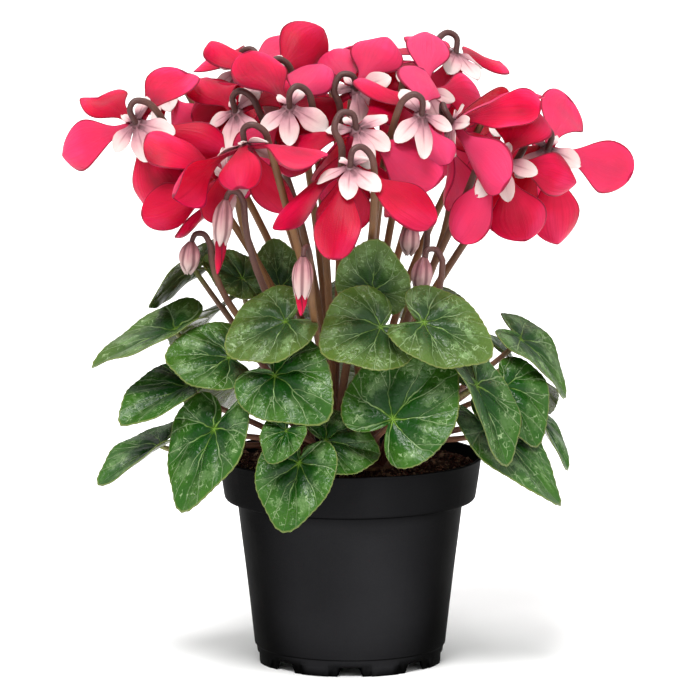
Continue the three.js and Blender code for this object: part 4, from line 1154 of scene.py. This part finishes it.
def leafBlade(leaf, index, at, finish):
    turns, rings = leafShape["turns"], np.array(leafShape["rings"])[:, None]
    angle = ((np.arange(turns) / turns) * 2 * pi - pi)[None, :] * np.ones_like(rings)
    saw = np.abs(((angle / (2 * pi) * leafShape["teeth"]) % 1.0) - 0.5) * 2
    radius = (heartReach(angle) * rings
              * (1 + leafShape["tooth"] * (saw - 0.5) * smoothStep(rings, 0.95, 1.0)))
    points, x, y = leafPlaces(leaf, index, at, radius, angle, rings * np.ones_like(angle))
    relief = (leafShape["pucker"] * (veinDistance(radius, angle) ** 0.6 - 0.7)
              * np.sin(pi * np.clip(rings, 0, 1)) ** 0.8
              + leafShape["dome"] * (1 - rings ** 2) ** 1.5 * smoothStep(rings, 0.0, 0.35)
              + waved(leafShape, "wave", angle, index) * rings ** 5)
    points = points + at["face"] * relief[..., None]
    half = leafShape["thickness"] / 2 * (1 - leafShape["thinning"] * rings ** 6) * np.ones_like(angle)
    sides = [np.vstack([at["base"] + at["face"] * leafShape["foot"] * sign,
                        (points + at["face"] * (half * sign)[..., None]).reshape(-1, 3)]) for sign in (1, -1)]
    here = 1 + np.arange(angle.size).reshape(angle.shape)
    after = np.roll(here, -1, axis=1)
    count = angle.size + 1
    quads = np.stack([here[:-1], here[1:], after[1:], after[:-1]], axis=-1).reshape(-1, 4)
    wall = np.stack([here[-1], count + here[-1], count + after[-1], after[-1]], axis=-1)
    faces = [(0, a, b) for a, b in zip(here[0], after[0])]
    faces += [(count, count + b, count + a) for _, a, b in faces]
    faces += np.vstack([quads, count + quads[:, [0, 3, 2, 1]], wall]).tolist()
    uv = [(0.0, 0.0)] + list(np.stack([x, y], axis=-1).reshape(-1, 2))
    ring = np.concatenate([[0.0], (rings * np.ones_like(angle)).ravel()])
    pile = newPile()
    # The last value grows with the leaf's height: the silver of the higher leaves, and painted light from
    # above.
    heap(pile, np.vstack(sides), faces, uv * 2, ring=np.tile(ring, 2), under=np.repeat([0.0, 1.0], count),
         tone=[0.5 + 0.5 * sin(2.9 * index + 0.4)] * (2 * count),
         silvered=[float(smoothStep(at["base"][2], 145, 180))] * (2 * count))
    return meshOf(f"leafBlade_{index + 1:02d}", pile, finish)


# A leaf's markings, from its own flat map: x runs to the tip and y across it, as shares of its length.
def makeLeafMarkings():
    group, start, end = newGroup("leafMarkings", {"Vector": None, "Ring": 0.0, "Tone": 0.5},
                                 ["Veins", "Flecks", "Blotches", "Margin", "Centre", "Height"])

    def fade(value, low, high, first=0.0, last=1.0):
        return between(group, value, low, high, first, last)

    def product(*values):
        return times(group, *values)

    def absolute(value):
        return sums(group, "ABSOLUTE", value)
    place, ring, tone = [start.outputs[label] for label in ("Vector", "Ring", "Tone")]
    apart = vectorSum(group, "ADD", place, joined(group, Z=product(tone, 17.0)))  # each leaf has its own
    centred = vectorSum(group, "SUBTRACT", noisy(group, apart, 3.2, 2.0, output="Color"), (0.5, 0.5, 0.5))
    nudged = addNode(group, "ShaderNodeVectorMath", {0: centred, "Scale": 0.12}, operation="SCALE").outputs[0]
    x, y, _ = parted(group, vectorSum(group, "ADD", place, nudged))
    radius = sums(group, "SQRT", plus(group, product(x, x), product(y, y)))
    angle = absolute(sums(group, "ARCTAN2", y, x))

    # The main veins leave the foot a step apart, and each forks at a place of its own.
    swept = plus(group, angle, product(radius, 0.34, sums(group, "SINE", angle)))
    cell = plus(group, sums(group, "DIVIDE", swept, leafShape["veinStep"]), 0.5)
    which = plus(group, sums(group, "FLOOR", cell), product(tone, 31.0))
    dice = addNode(group, "ShaderNodeTexWhiteNoise", {"W": which}, noise_dimensions="1D").outputs["Value"]
    offCell = absolute(less(group, sums(group, "FRACT", cell), 0.5))
    off = product(offCell, leafShape["veinStep"], radius)
    past = less(group, radius, plus(group, product(dice, 0.26), 0.16))
    forked = product(sums(group, "MAXIMUM", past, 0.0), plus(group, product(dice, 0.24), 0.34))
    trunk = product(fade(off, 0.004, 0.013, 1.0, 0.0), fade(past, 0.1, 0.4, 1.0, 0.3))
    offFork = absolute(less(group, off, forked))
    branch = product(fade(offFork, 0.003, 0.011, 1.0, 0.0), fade(past, 0.0, 0.06), 0.85)
    veins = sums(group, "MAXIMUM", trunk, branch)

    # Silvery blotches in a band round the leaf, and flecks along the net of its fine veins.
    net = addNode(group, "ShaderNodeTexVoronoi", {"Vector": apart, "Scale": 15.0},
                  feature="DISTANCE_TO_EDGE").outputs["Distance"]
    blotches = product(fade(ring, 0.4, 0.6), fade(ring, 0.78, 0.94, 1.0, 0.0), fade(offCell, 0.04, 0.24),
                       fade(noisy(group, apart, 4.6, 6.0, 0.72), 0.49, 0.545),
                       fade(net, 0.01, 0.09, 0.55, 1.0))
    flecks = product(fade(net, 0.01, 0.07, 1.0, 0.0), fade(noisy(group, apart, 11.0, 3.0), 0.52, 0.62),
                     fade(ring, 0.4, 0.65), fade(ring, 0.88, 0.96, 1.0, 0.0))
    cushion = product(fade(offCell, 0.0, 0.4), fade(radius, 0.1, 0.5), 1.6)
    results = {
        "Veins": product(veins, fade(noisy(group, apart, 6.0, 2.0), 0.36, 0.6, 0.4, 1.0)),
        "Flecks": flecks, "Blotches": blotches, "Margin": fade(ring, 0.968, 0.992),
        "Centre": product(fade(radius, 0.01, 0.08, 1.0, 0.0), fade(tone, 0.0, 1.0, 0.5, 1.0)),
        "Height": plus(group, less(group, cushion, veins), product(net, 0.35)),
    }
    for label, result in results.items():
        group.links.new(result, end.inputs[label])
    return group


def leafSkin():
    material, tree, blotch, grain = newFinish("leafSkin", 46.0, 1500.0, (0.05, 0.0008, 0.002, 0.0005),
                                              Specular_IOR_Level=0.22)
    tone, under, ring, silvered = [pointValue(tree, label) for label in ("tone", "under", "ring", "silvered")]
    marks = useGroup(tree, makeLeafMarkings(), {"Vector": bladeMap(tree), "Ring": ring, "Tone": tone})
    dappled = between(tree, blotch, 0.35, 0.7)
    outer = between(tree, ring, 0.3, 0.95)
    deep, pale = mixed(tree, dappled, "144a08", "083406"), mixed(tree, dappled, "3e6c1c", "2a5c14")
    # Higher leaves turn olive grey and more marbled: partly their silver, partly a painted sheen of the light
    # from above.
    silverAndSheen = mixed(tree, outer, "325028", "607834")
    face = mixed(tree, between(tree, silvered, 0.0, 1.0, 0.0, 0.75), mixed(tree, outer, deep, pale), silverAndSheen)
    marbled = plus(tree, between(tree, tone, 0.0, 1.0, 0.22, 0.5), times(tree, silvered, 0.25))
    veined = mixed(tree, between(tree, ring, 0.1, 0.6), "84ac44", "a2be86")
    for label, share, colour in (("Blotches", marbled, "86a86c"), ("Flecks", 0.75, "b0ca94"),
                                 ("Veins", 0.85, veined), ("Centre", 0.6, "7caa2a"),
                                 ("Margin", 0.75, "86904c")):
        face = mixed(tree, times(tree, marks[label], share), face, colour)
    back = mixed(tree, dappled, "64743a", "54642e")
    for label, colour in (("Blotches", "625c4e"), ("Veins", "a09a6c")):
        back = mixed(tree, times(tree, marks[label], 0.6), back, colour)
    return finishWith(material, mixed(tree, between(tree, under, 0.5, 0.6), face, back),
                      plus(tree, marks["Height"], times(tree, grain, 0.1)), 0.7, 0.0018,
                      between(tree, blotch, 0.3, 0.7, 0.24, 0.36))


def makeLeaves():
    finish = leafSkin()
    stems = []
    worst = 0.0
    for index, leaf in enumerate(leaves):
        corners = nodePoints(leafNodes[index])
        way, miss = findLeafWay(leaf, index, corners)
        worst = max(worst, miss)
        at = leafFrame(leaf, way)
        stems.append(petioleLine(at, corners))
        dress(leafBlade(leaf, index, at, finish), "leaf", leafNodes[index])
    skin = stemSkin("petioleSkin", (90.0, 1600.0), "stemShare",
                    {0.0: "7a4638", 0.5: "8f5f4c", 0.85: "9a7350", 1.0: "8c9a48"},
                    ("blotch", 0.4, 0.7, 0.5, "6c4032"), glow=(0.06, 0.002, 0.001, 0.0006))
    dress(growStems("petioles", stems, petiole["sides"], skin), "leaf", *leafNodes)
    print("the leaves lie on their nodes within", round(worst, 3), "mm")


makeLeaves()
print("the leaves are made")
